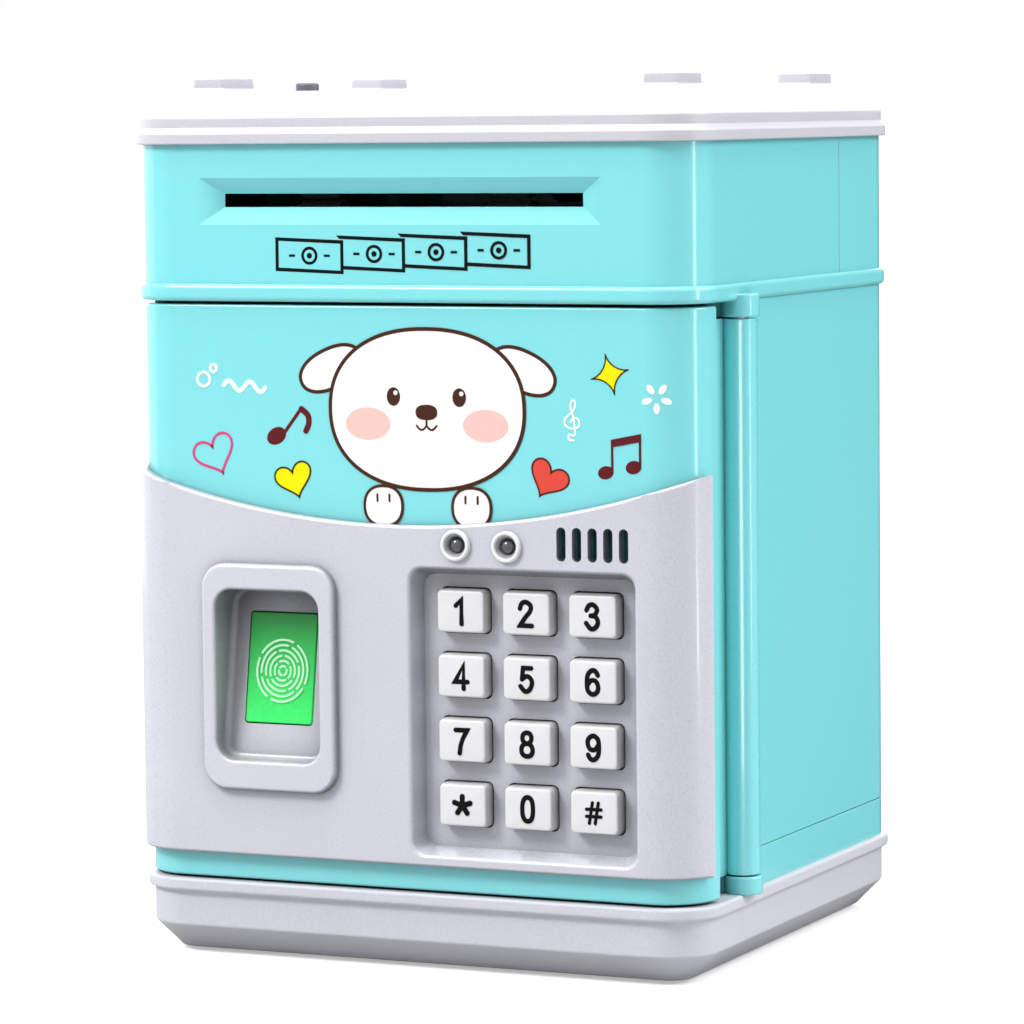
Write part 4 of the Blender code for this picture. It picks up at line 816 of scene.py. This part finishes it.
def lid_block(centre_x, centre_y):
    """One of the low blocks on the lid, flared where it meets the plateau."""
    top = LID.high.z
    profile = rounded([
        (-0.9, LID_PLATEAU - 0.5, 0),
        (-0.9, LID_PLATEAU + 0.05, 0),
        (0, LID_PLATEAU + 0.7, 0.6),
        (0.15, top, 0.35),
        (1.2, top, 0),
    ])
    rings = []
    for inset, level in profile:
        outline = placed(ring(BLOCK_HALF[0] - inset, BLOCK_HALF[1] - inset, 0.7, 3), (centre_x, centre_y))
        rings.append([metres((x, y, level)) for x, y in outline])
    return loft("block", rings)


def make_top_button():
    low, high, middle = node_box("top_button")
    flange, stem, ledge = high.x - middle.x, 2.6, low.z + 1.2
    corners = [(0, low.z, 0), (flange, low.z, 0.2), (flange, ledge, 0.2), (stem, ledge, 0)]
    corners += [(stem, high.z, 0.6), (0, high.z, 0)]
    button = turned("light_button", rounded(corners), (middle.x, middle.y, 0), UP)
    finish(button, "top_button", "dark_plastic", "top_button", 0)


# ---- door

def make_door_shell():
    """The door moulding, a shallow tray with wrapped sides, and the web and barrel of its hinge."""
    low, high = DOOR.low.z, DOOR.high.z
    profile = rounded([(20, low, 0), (0, low, 0.6), (0, high, 0.6), (20, high, 0)])
    door = upright("door_moulding", HALF_X, HALF_Y, CORNER_RADIUS, profile)
    inside = [(DOOR_WALL, low + DOOR_WALL), (DOOR_WALL, high - DOOR_WALL)]
    cut(
        door,
        upright("inside", HALF_X, HALF_Y, CORNER_RADIUS, inside),
        box((-FAR, DOOR_BACK, 0), (FAR, FAR, 2 * FAR)),
    )
    gap = 0.3
    barrel_low = SILL.low.z + LUG_HEIGHT + gap
    barrel_high = DECK_LOW - LUG_HEIGHT - gap
    join(door, box((61.6, -49, barrel_low), (63.1, HINGE.y - 1, barrel_high)))
    barrel = hinge_post("hinge_barrel", BARREL_RADIUS, barrel_low, barrel_high, 0.3, 2, 56)
    cut(barrel, pin_hole(barrel_low - 1, barrel_low + 9), pin_hole(barrel_high - 9, barrel_high + 1))
    finish(barrel, "door", "body_plastic", edge=0, material="barrel_plastic")
    (x_low, z_low), (x_high, z_high) = KEYPAD
    keypad_room = ((x_low - 2.2, z_low - 2.2), (x_high + 1.9, z_high + 2))
    cut(
        door,
        block(keypad_room, 4, -FAR, ROOM_BACK),
        block(grown(POCKET, READER_WALL + gap), 4, -FAR, ROOM_BACK),
        *grille_slots(ROOM_BACK),
        *lamp_holes(2.9),
    )
    finish(door, "door", "body_plastic", "door_shell", 0.25, 3)


def grille_slots(back):
    """Cutters for the five slots in front of the speaker."""
    centres = [GRILLE_X + index * GRILLE_PITCH for index in range(-2, 3)]
    return [block(around(*GRILLE_HALF, x, GRILLE_Z), 1.04, -FAR, back) for x in centres]


def lamp_holes(radius):
    """Cutters round the two status lamps."""
    places = [node_box("status_lamp_" + side).middle for side in ("left", "right")]
    return [rod(radius, (x, -FAR, z), (x, -49.4, z)) for x, _, z in places]


def key_face(node, flange):
    """The (x, z) rectangle of a key inside its flange."""
    low, high, _ = node_box(node)
    return grown(((low.x, low.z), (high.x, high.z)), -flange)


def make_faceplate():
    """The grey plate: both corners wrapped, arched top edge with a broad soft rim, keypad tray and grille."""
    half_x, half_y = -PLATE.low.x, -PLATE_FRONT
    plate = upright("door_faceplate", half_x, half_y, PLATE_RADIUS, [(0, PLATE.low.z), (0, 112)], steps=10)
    inside = (half_x - PLATE_SIDE_THICK, half_y - PLATE_THICK, PLATE_RADIUS - 1.4)
    arc_z = PLATE_ARC_LOWEST + PLATE_ARC_RADIUS
    cut(
        plate,
        upright("inside", *inside, [(0, 0), (0, 2 * FAR)]),
        box((-FAR, PLATE_BACK, 0), (FAR, FAR, 2 * FAR)),
        rod(PLATE_ARC_RADIUS, (0, -FAR, arc_z), (0, FAR, arc_z), 360),
    )

    def on_outside(point):
        """Whether the point is on the outer wall, which follows a rounded rectangle."""
        a = abs(point.x) - (half_x - PLATE_RADIUS)
        b = abs(point.y) - (half_y - PLATE_RADIUS)
        distance = math.hypot(max(a, 0), max(b, 0)) + min(max(a, b), 0)
        return abs(distance - PLATE_RADIUS) < 0.03

    bevel_where(plate, 0.75, 5, on_outside, clamp=False)
    join(plate, block(grown(KEYPAD, 1.9), 3.5, PLATE_FRONT + 1, KEYPAD_FLOOR + 1.5))
    cut(plate, funnel(KEYPAD, grown(KEYPAD, -KEYPAD_SLOPE), PLATE_FRONT, KEYPAD_FLOOR, KEYPAD_RADIUS, 6))
    bevel_where(plate, 0.7, 3, near(KEYPAD, lambda z: PLATE_FRONT), clamp=False)
    inner_face = -58.4
    cut(
        plate,
        *(block(key_face(node, 0.4), 1.3, -59.8, ROOM_BACK, 3) for node in KEY_SYMBOLS),
        *lamp_holes(2.5),
        *grille_slots(inner_face),
        block(grown(POCKET, READER_WALL + 0.3), 4, -FAR, inner_face),
    )
    finish(plate, "door", "faceplate_plastic", "faceplate", 0.16)


def leaning_depth(z, behind=0.0):
    """Depth of the reader's leaning floor at height z, or of a plane parallel to it."""
    return PAD_CENTRE.y + (z - PAD_CENTRE.z) * math.tan(PAD_LEAN) + behind / math.cos(PAD_LEAN)


def leaning_block(corners, radius, front, behind=0.0):
    """A block whose back end leans like the reader's floor."""
    obj = block(corners, radius, front, 0)
    for vertex in obj.data.vertices:
        if vertex.co.y > -MM:
            vertex.co.y = leaning_depth(vertex.co.z / MM, behind) * MM
    return obj


def make_reader():
    """The fingerprint reader's bezel with its leaning pocket."""
    foot = PLATE_FRONT - 0.05
    profile = rounded([(4, foot, 0), (0, foot, 0), (0.15, READER_FRONT, 1.25), (5, READER_FRONT, 0)], 6)
    bezel = facing("reader_bezel", READER, 5.5, profile, 10)
    join(bezel, leaning_block(grown(POCKET, READER_WALL), 3.8, READER_FRONT + 1, READER_WALL))
    cut(bezel, leaning_block(POCKET, 4, -FAR))
    bevel_where(bezel, 0.7, 4, near(POCKET, lambda z: READER_FRONT), clamp=False)
    bevel_where(bezel, 1.3, 4, near(POCKET, leaning_depth))
    window = block(grown(around(*PAD_HALF), 0.3), 0.8, -6, 6, 3)
    window.data.transform(PAD_PLACE)
    cut(bezel, window)
    finish(bezel, "door", "bezel_plastic", "fingerprint_bezel", 0.14)


def make_pad():
    """The lit green pad and its printed whorl of broken arcs."""
    profile = rounded([(3, 2.1, 0), (0, 2.1, 0), (0, -0.25, 0.2), (3, -0.25, 0)], 3)
    pad = facing("reader_pad", around(*PAD_HALF), 0.6, profile, 4)
    pad.data.transform(PAD_PLACE)
    finish(pad, "fingerprint_pad", "green_window", "fingerprint_pad", 0)
    sheet = Print("reader_whorl", "mint", -0.3)
    for index in range(6):
        radius = 0.9 + 1.02 * index
        parts = 3 + index % 2
        sweep = 360 / parts - math.degrees(0.55 / radius + 0.12)
        for part in range(parts):
            curve = arc(-62 + 20 * (index % 3) + part * 360 / parts, sweep, 14)
            sheet.line([(0.4 + radius * x, -0.6 + 1.1 * radius * z) for x, z in curve], 0.46)
    sheet.finish("fingerprint_pad", "green_window").data.transform(PAD_PLACE)


def make_keys():
    """Twelve crowned caps with their printed symbols."""
    for node, symbol in KEY_SYMBOLS.items():
        low, high, middle = node_box(node)
        name = node.split("_")[1]
        corners = [(2, high.y, 0), (0, high.y, 0), (0, low.y + 1.6, 0.3)]
        corners += [(0.3, low.y + 0.08, 0.5), (1.9, low.y, 0.6)]
        crown = (high.x - middle.x - 2.3, low.y - 0.06)
        cap = facing("cap_" + name, key_face(node, 0.7), 1.2, [*rounded(corners, 5), crown], 5)
        finish(cap, node, "key_plastic", node, 0)
        sheet = Print("symbol_" + name, "black", low.y - 0.09, 0.3)
        for points, closed in strokes_of(symbol):
            points = placed(points, (middle.x, middle.z), GLYPH_HEIGHT)
            sheet.line(points, GLYPH_WIDTHS.get(symbol, 1), closed)
        sheet.finish(node, "key_plastic")


def strokes_of(symbol):
    """The strokes of a key symbol, one unit high. Each is (points, closed)."""
    hook = [(0.23, 0.29), (0.12, 0.46), (-0.06, 0.47), (-0.22, 0.27), (-0.25, -0.08), (-0.2, -0.36)]
    hook += [(0.0, -0.49), (0.2, -0.37), (0.24, -0.15), (0.13, 0.06), (-0.07, 0.07), (-0.23, -0.12)]
    high_three = [(-0.24, 0.26), (-0.13, 0.45), (0.06, 0.48), (0.22, 0.3), (0.12, 0.08), (-0.06, 0.04)]
    low_three = [(-0.06, 0.04), (0.16, 0.0), (0.26, -0.22), (0.14, -0.44), (-0.06, -0.49), (-0.26, -0.27)]
    bowl = [(-0.19, 0.0), (0.02, 0.13), (0.2, 0.03), (0.25, -0.18), (0.13, -0.43), (-0.07, -0.49)]
    bowl.append((-0.26, -0.29))
    neck = [(-0.25, 0.22), (-0.17, 0.43), (0.02, 0.49), (0.22, 0.35), (0.2, 0.12), (-0.02, -0.14)]
    neck.append((-0.25, -0.47))
    loops = {
        "0": [oval(0.24, 0.49, 2.4, 40)],
        "8": [placed(oval(0.2, 0.22, 2.2, 32), (0, 0.26)), placed(oval(0.25, 0.26, 2.2, 32), (0, -0.23))],
    }
    lines = {
        "1": [[(-0.19, 0.24), (0.06, 0.48), (0.06, -0.5)]],
        "2": [smooth_path(neck) + [(0.27, -0.47)]],
        "3": [smooth_path(high_three), smooth_path(low_three)],
        "4": [[(0.12, -0.5), (0.12, 0.46), (-0.27, -0.22), (0.3, -0.22)]],
        "5": [[(0.22, 0.46), (-0.14, 0.46), (-0.19, 0.0)], smooth_path(bowl)],
        "6": [smooth_path(hook)],
        "7": [[(-0.26, 0.45), (0.25, 0.45), (0.06, 0.1), (-0.04, -0.18), (-0.09, -0.5)]],
        "9": [placed(smooth_path(hook), (0, 0), -1)],
        "#": [[(-0.2, -0.42), (-0.06, 0.42)], [(0.06, -0.42), (0.2, 0.42)]],
        "*": [[(0, 0), (0.37 * x, 0.37 * z)] for x, z in arc(90, 288, 4)],
    }
    lines["#"] += [[(-0.32, z), (0.32, z)] for z in (-0.14, 0.15)]
    return [(points, kind is loops) for kind in (loops, lines) for points in kind.get(symbol, ())]


def make_lamps():
    """Two status lamps: a glossy dome in a reflector cup, with a pale raised collar."""
    radius = 1.5
    collar = rounded([(2.45, -0.6, 0), (3.35, -0.6, 0), (3.3, 0.9, 0.5), (2.45, 0.95, 0.35)], 5, closed=True)
    cup = [(2.45, -4), (2.45, 0.2), (2.2, 0.2), (radius, -0.7), (1.3, -4)]
    dome = [(0, -5), (radius, -5), *placed([(x, 0.8 * z) for x, z in arc(0, 90, 8)], (0, -0.7), radius)]
    for side in ("left", "right"):
        node = "status_lamp_" + side
        middle = node_box(node).middle
        place = (middle.x, PLATE_FRONT, middle.z)
        rim = turned("lamp_collar_" + side, collar, place, FORWARD, 48, closed=True)
        finish(rim, "door", "lamp_lens", edge=0, material="collar_plastic")
        reflector = turned("lamp_reflector_" + side, cup, place, FORWARD, closed=True)
        finish(reflector, "door", "lamp_lens", edge=0, material="lamp_cup")
        finish(turned("lamp_dome_" + side, dome, place, FORWARD), "door", "lamp_lens", node, 0)


# ---- printed art

class Print:
    """Flat printed shapes of one ink on a surface that faces -Y. Shapes are given as (x, z) points."""

    def __init__(self, name, ink_name, depth, thickness=0.08):
        self.name = name
        self.material = INKS[ink_name]
        self.depth = depth
        self.back = depth + thickness
        self.lift = 0.0
        self.bm = bmesh.new()

    def lifted(self):
        """The depth of the next shape, a hair in front of the last one so that shapes never share a plane."""
        self.lift += 0.003
        return self.depth - self.lift

    def skin(self, rings, closed=False):
        """Adds a surface through outlines. Each ring is (outline, depth)."""
        bridge(self.bm, [[metres((x, depth, z)) for x, z in outline] for outline, depth in rings], closed)

    def area(self, outline):
        self.skin(((outline, self.lifted()), (outline, self.back)))

    def band(self, outer, inner):
        """A closed band between two outlines."""
        front = self.lifted()
        rings = ((outer, front), (inner, front), (inner, self.back), (outer, self.back))
        self.skin(rings, closed=True)

    def line(self, points, width, closed=False):
        """A stroke of even width with mitred turns. An open one gets rounded ends."""
        points = [Vector(point) for point in points]
        count = len(points)
        sides = []
        for index, point in enumerate(points):
            before = points[index - 1] if closed or index else point
            after = points[(index + 1) % count] if closed or index < count - 1 else point
            first, second = (point - before).normalized(), (after - point).normalized()
            along = (first + second).normalized()
            mitre = max(along.dot(second if second.length else first), 0.5)
            across = Vector((-along.y, along.x)) * width / 2 / mitre
            sides.append((point + across, point - across))
        if closed:
            self.band(*zip(*sides))
            return
        front = self.lifted()
        rows = []
        for index, (left, right) in enumerate(sides):
            near_depth = front - 0.006 * index / count
            corners = ((left, near_depth), (right, near_depth), (right, self.back), (left, self.back))
            rows.append([metres((spot.x, depth, spot.y)) for spot, depth in corners])
        bridge(self.bm, rows)
        self.lift += 0.006
        for end in (points[0], points[-1]):
            self.area(placed(oval(width / 2, width / 2, count=16), end))

    def finish(self, body, slot):
        bmesh.ops.triangulate(self.bm, faces=self.bm.faces, ngon_method="EAR_CLIP")
        bmesh.ops.recalc_face_normals(self.bm, faces=self.bm.faces)
        for vertex in self.bm.verts:
            vertex.co = wrap(vertex.co / MM) * MM
        obj = mesh_object(self.name, self.bm)
        obj.data.materials.append(self.material)
        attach(obj, body)
        return obj


def wrap(point):
    """Bends a point of a flat print round the body's front corner."""
    flat = HALF_X - CORNER_RADIUS
    if abs(point.x) <= flat or point.y > -HALF_Y + 1:
        return point
    angle = (abs(point.x) - flat) / CORNER_RADIUS
    radius = CORNER_RADIUS - (point.y + HALF_Y)
    x = math.copysign(flat + radius * math.sin(angle), point.x)
    return Vector((x, -(HALF_Y - CORNER_RADIUS) - radius * math.cos(angle), point.z))


def heart(count=48):
    """A heart about two units wide with its tip down."""
    points = []
    for index in range(count):
        t = 2 * math.pi * index / count
        x = 17 * math.copysign(abs(math.sin(t)) ** 2.7, math.sin(t))
        z = 12.4 * math.cos(t) - 5 * math.cos(2 * t) - 2 * math.cos(3 * t) - math.cos(4 * t)
        points.append((x / 16, z / 16))
    return points


def make_art():
    """The door's printed picture: a puppy of our own, hearts, notes, a star, a flower and a squiggle."""
    sheets = {}

    def sheet(ink_name, level):
        key = (ink_name, level)
        if key not in sheets:
            sheets[key] = Print(f"print_{ink_name}_{level}", ink_name, DOOR.low.y - PRINT_LAYER * level)
        return sheets[key]

    puppy(sheet)
    for centre, size, turn, fill, outline in (
        ((-44.9, 108.9), 4.6, 24, None, "pink"),
        ((-26.0, 103.9), 4.1, 17, "yellow", "brown"),
        ((33.0, 105.3), 4.2, -28, "red", "wine"),
    ):
        points = placed(heart(), centre, size, turn)
        if fill:
            sheet(fill, 1).area(points)
        sheet(outline, 2).line(points, 0.38 if fill else 0.55, closed=True)
    star = placed(oval(1, 1, 2 / 3.3, 48), (47.0, 126.9), 4.2, 14)
    sheet("yellow", 1).area(star)
    sheet("brown", 2).line(star, 0.28, closed=True)
    white = sheet("white", 1)
    for index, centre in enumerate(placed(arc(270, 288, 4), (57.2, 122.2), 2.15)):
        white.area(placed(oval(1.15, 0.68, count=24), centre, 1, 270 + 72 * index))
    squiggle = [(x / 4, math.sin(x / 4 * 1.25)) for x in range(41)]
    white.line(placed(squiggle, (-42.5, 123.4), 1, -2), 0.95)
    for centre, size in (((-47.3, 124.6), 1.5), ((-44.9, 127.0), 0.8)):
        white.line(placed(oval(size, size, count=28), centre), 0.6, closed=True)
    music(sheet)
    for item in sheets.values():
        item.finish("door", "body_plastic")


def puppy(sheet):
    """A symmetrical puppy: broad head, hanging ears, cheeks, small smile and two paws on the plate's edge."""
    middle = 5.3
    features = sheet("brown", 4)
    for side in (-1, 1):
        ear = placed(oval(7.6, 4.1, 2.2), (middle + side * 22.2, 127.3), 1, side * -24)
        sheet("white", 1).area(ear)
        sheet("brown", 2).line(ear, 0.75, closed=True)
        paw_x = middle + side * 10.2
        paw = placed(oval(4.4, 4.2, 2.3, 40), (paw_x, 98.6))
        sheet("white", 5).area(paw)
        sheet("brown", 6).line(paw, 0.6, closed=True)
        for x in (paw_x - 1.4, paw_x + 1.4):
            sheet("brown", 6).line([(x, 101.0), (x, 99.6)], 0.45)
    head = placed(oval(22.4, 16.8, 2.25, 96), (middle, 119.0))
    sheet("white", 3).area(head)
    features.line(head, 0.8, closed=True)
    for side in (-1, 1):
        sheet("blush", 4).area(placed(oval(5.2, 3.4), (middle + side * 13.6, 115.8)))
        eye_x = middle + side * 7.6
        features.area(placed(oval(1.55, 1.95, count=36), (eye_x, 121.6)))
        sheet("white", 5).area(placed(oval(0.5, 0.5, count=16), (eye_x + 0.5, 122.4)))
        smile = [(side * 2.3 * t, -0.9 * math.sin(math.pi * t)) for t in (0, 0.2, 0.4, 0.6, 0.8, 1)]
        features.line(placed(smile, (middle, 115.6)), 0.42)
    features.area(placed(oval(2.5, 1.6, 2.4, 36), (middle, 118.4)))
    features.line([(middle, 117.0), (middle, 115.6)], 0.42)


def music(sheet):
    """A quaver, a pair of joined quavers and a clef."""
    wine = sheet("wine", 1)
    wine.area(placed(oval(2.4, 1.75, count=32), (-30.0, 112.8), 1, 28))
    wine.line(placed([(0, 0), (4.2, 5.4)], (-28.2, 113.4)), 0.75)
    flag = smooth_path([(0, 0), (1.5, -1.3), (1.7, -3.0), (1.0, -4.6)])
    wine.line(placed(flag, (-24.0, 118.6)), 1.3)
    for x, z in ((45.9, 106.7), (52.1, 107.9)):
        wine.area(placed(oval(1.75, 1.35, count=32), (x, z), 1, 12))
        wine.line(placed([(0, 0), (0, 6.4)], (x + 1.45, z + 0.2)), 0.5)
    wine.area(placed([(0, 0), (6.7, 1.3), (6.7, -0.3), (0, -1.6)], (47.1, 113.5)))
    clef = [(0.2, -4.2), (-0.9, -4.0), (-0.8, -3.0), (0.3, -3.2), (0.5, -2.0), (0.1, 0.6), (-0.5, 3.0)]
    clef += [(0.1, 4.2), (0.6, 3.2), (0.0, 1.8), (-1.6, 0.3), (-1.7, -1.0), (-0.3, -1.8), (1.3, -1.3)]
    clef += [(1.3, 0.1), (0.2, 0.4), (-0.5, -0.5)]
    sheet("white", 1).line(placed(smooth_path(clef, 5), (38.6, 117.4)), 0.42)


def make_notes_print():
    """Four overlapping banknote outlines, each with a plain disc, under the note slot."""
    sheet = Print("print_notes", "black", DOOR.low.y - PRINT_LAYER)
    tilt, border = 0.3, 0.72
    signs = ((-1, 1), (1, 1), (1, -1), (-1, -1))
    for index in range(4):
        x, z = -21.6 + 14.35 * index, 150.95 + 0.42 * index
        outer, inner = [
            [(x + a * (8 - inset), z + b * (3.55 - inset) - a * tilt) for a, b in signs]
            for inset in (0, border)
        ]
        if index == 0:
            sheet.band(outer, inner)
        else:
            start = x - 6.4
            sheet.area([outer[0], outer[1], inner[1], inner[0]])
            sheet.area([outer[1], outer[2], inner[2], inner[1]])
            sheet.area([(start, outer[3][1]), outer[2], inner[2], (start, inner[3][1])])
            x += 0.8
        sheet.line(placed(oval(1.6, 1.6, count=32), (x, z)), 0.6, closed=True)
        sheet.area(placed(oval(0.6, 0.6, count=20), (x, z)))
        for side in (-4.1, 4.1):
            sheet.area(placed([(-0.7, -0.25), (0.7, -0.25), (0.7, 0.25), (-0.7, 0.25)], (x + side, z)))
    sheet.finish("cabinet", "body_plastic")


# ---- stage, lights and camera

def make_stage():
    """A wide pale floor. It looks white to the camera but sends little light up under the bank."""
    bm = bmesh.new()
    bmesh.ops.create_grid(bm, x_segments=1, y_segments=1, size=40.0)
    floor = mesh_object("studio_floor", bm)
    nodes = Nodes(bpy.data.materials.new("studio_floor"))
    camera_ray = nodes.add("LightPath", "Is Camera Ray")
    spot = nodes.add("NewGeometry", "Position")
    seen = nodes.mix(nodes.noise(60.0), (0.90, 0.90, 0.905), (0.92, 0.92, 0.925))
    unseen = nodes.mix(nodes.facing_dark(spot), (0.42, 0.42, 0.43), (0.06, 0.06, 0.06))
    distance = nodes.add("VectorMath", "Value", {0: spot}, operation="LENGTH")
    glow = nodes.spread(distance, 0.25, 1.1, *FLOOR_GLOW)
    material = nodes.shade({
        "Base Color": nodes.mix(camera_ray, unseen, seen),
        "Emission Color": (1, 1, 1),
        "Emission Strength": nodes.math("MULTIPLY", camera_ray, glow),
        "Roughness": 0.8,
        "Specular IOR Level": 0.0,
    })
    floor.data.materials.append(material)


def area_light(name, place, size, power, target):
    data = bpy.data.lights.new(name, "AREA")
    data.shape = "RECTANGLE"
    data.size, data.size_y = size
    data.energy = power
    light = bpy.data.objects.new(name, data)
    bpy.context.scene.collection.objects.link(light)
    light.location = place
    light.rotation_euler = (Vector(target) - Vector(place)).to_track_quat("-Z", "Y").to_euler()
    light.visible_camera = False
    return light


def barrel_glint():
    """A narrow card in front of the hinge that only its barrel reflects."""
    x, y = HINGE.x * MM, HINGE.y * MM
    place = (x + 0.3 * math.sin(CAMERA_AZIMUTH), y - 0.3 * math.cos(CAMERA_AZIMUTH), 0.06)
    card = area_light("glint", place, (0.09, 0.18), 0.45, (x, y, 0.08))
    card.visible_diffuse = False
    receivers = bpy.data.collections.new("glint_receivers")
    receivers.objects.link(bpy.data.objects["hinge_barrel"])
    card.light_linking.receiver_collection = receivers


def make_world():
    """White all round: full white to the camera, bright in reflections and softer as fill light."""
    world = bpy.data.worlds.new("studio")
    bpy.context.scene.world = world
    nodes = Nodes(world)
    dark = nodes.facing_dark(nodes.add("TexCoord", "Generated"))
    reflected = nodes.spread(dark, 0.0, 1.0, WORLD_REFLECTED, 0.1)
    lighting = nodes.mix(nodes.add("LightPath", "Is Glossy Ray"), WORLD_FILL, reflected, "FLOAT")
    strength = nodes.mix(nodes.add("LightPath", "Is Camera Ray"), lighting, 1.0, "FLOAT")
    nodes.shade({"Color": (1, 1, 1), "Strength": strength}, "Background")


def make_camera():
    data = bpy.data.cameras.new("camera")
    data.lens = CAMERA_LENS
    data.sensor_width = 36.0
    data.clip_start = 0.01
    data.clip_end = 200.0
    camera = bpy.data.objects.new("camera", data)
    bpy.context.scene.collection.objects.link(camera)
    level = Matrix.Rotation(CAMERA_AZIMUTH, 4, "Z") @ Matrix.Rotation(math.pi / 2 - CAMERA_ELEVATION, 4, "X")
    turn = level @ Matrix.Rotation(CAMERA_ROLL, 4, "Z")
    camera.matrix_world = Matrix.Translation(CAMERA_PLACE) @ turn
    bpy.context.scene.camera = camera


def main():
    make_materials()
    make_base()
    make_sill()
    make_body_shell()
    make_deck()
    make_upper_housing()
    make_lid()
    make_top_button()
    make_door_shell()
    make_faceplate()
    make_reader()
    make_pad()
    make_keys()
    make_lamps()
    make_art()
    make_notes_print()
    for row in frame["record"]["subparts"]:
        if not frame["nodes"][row["node"]].hide_render:
            dress(row["node"], row["material_slot"])
    make_stage()
    make_world()
    for light in LIGHTS:
        area_light(*light)
    barrel_glint()
    make_camera()
    bpy.context.scene.view_settings.view_transform = "Standard"


main()
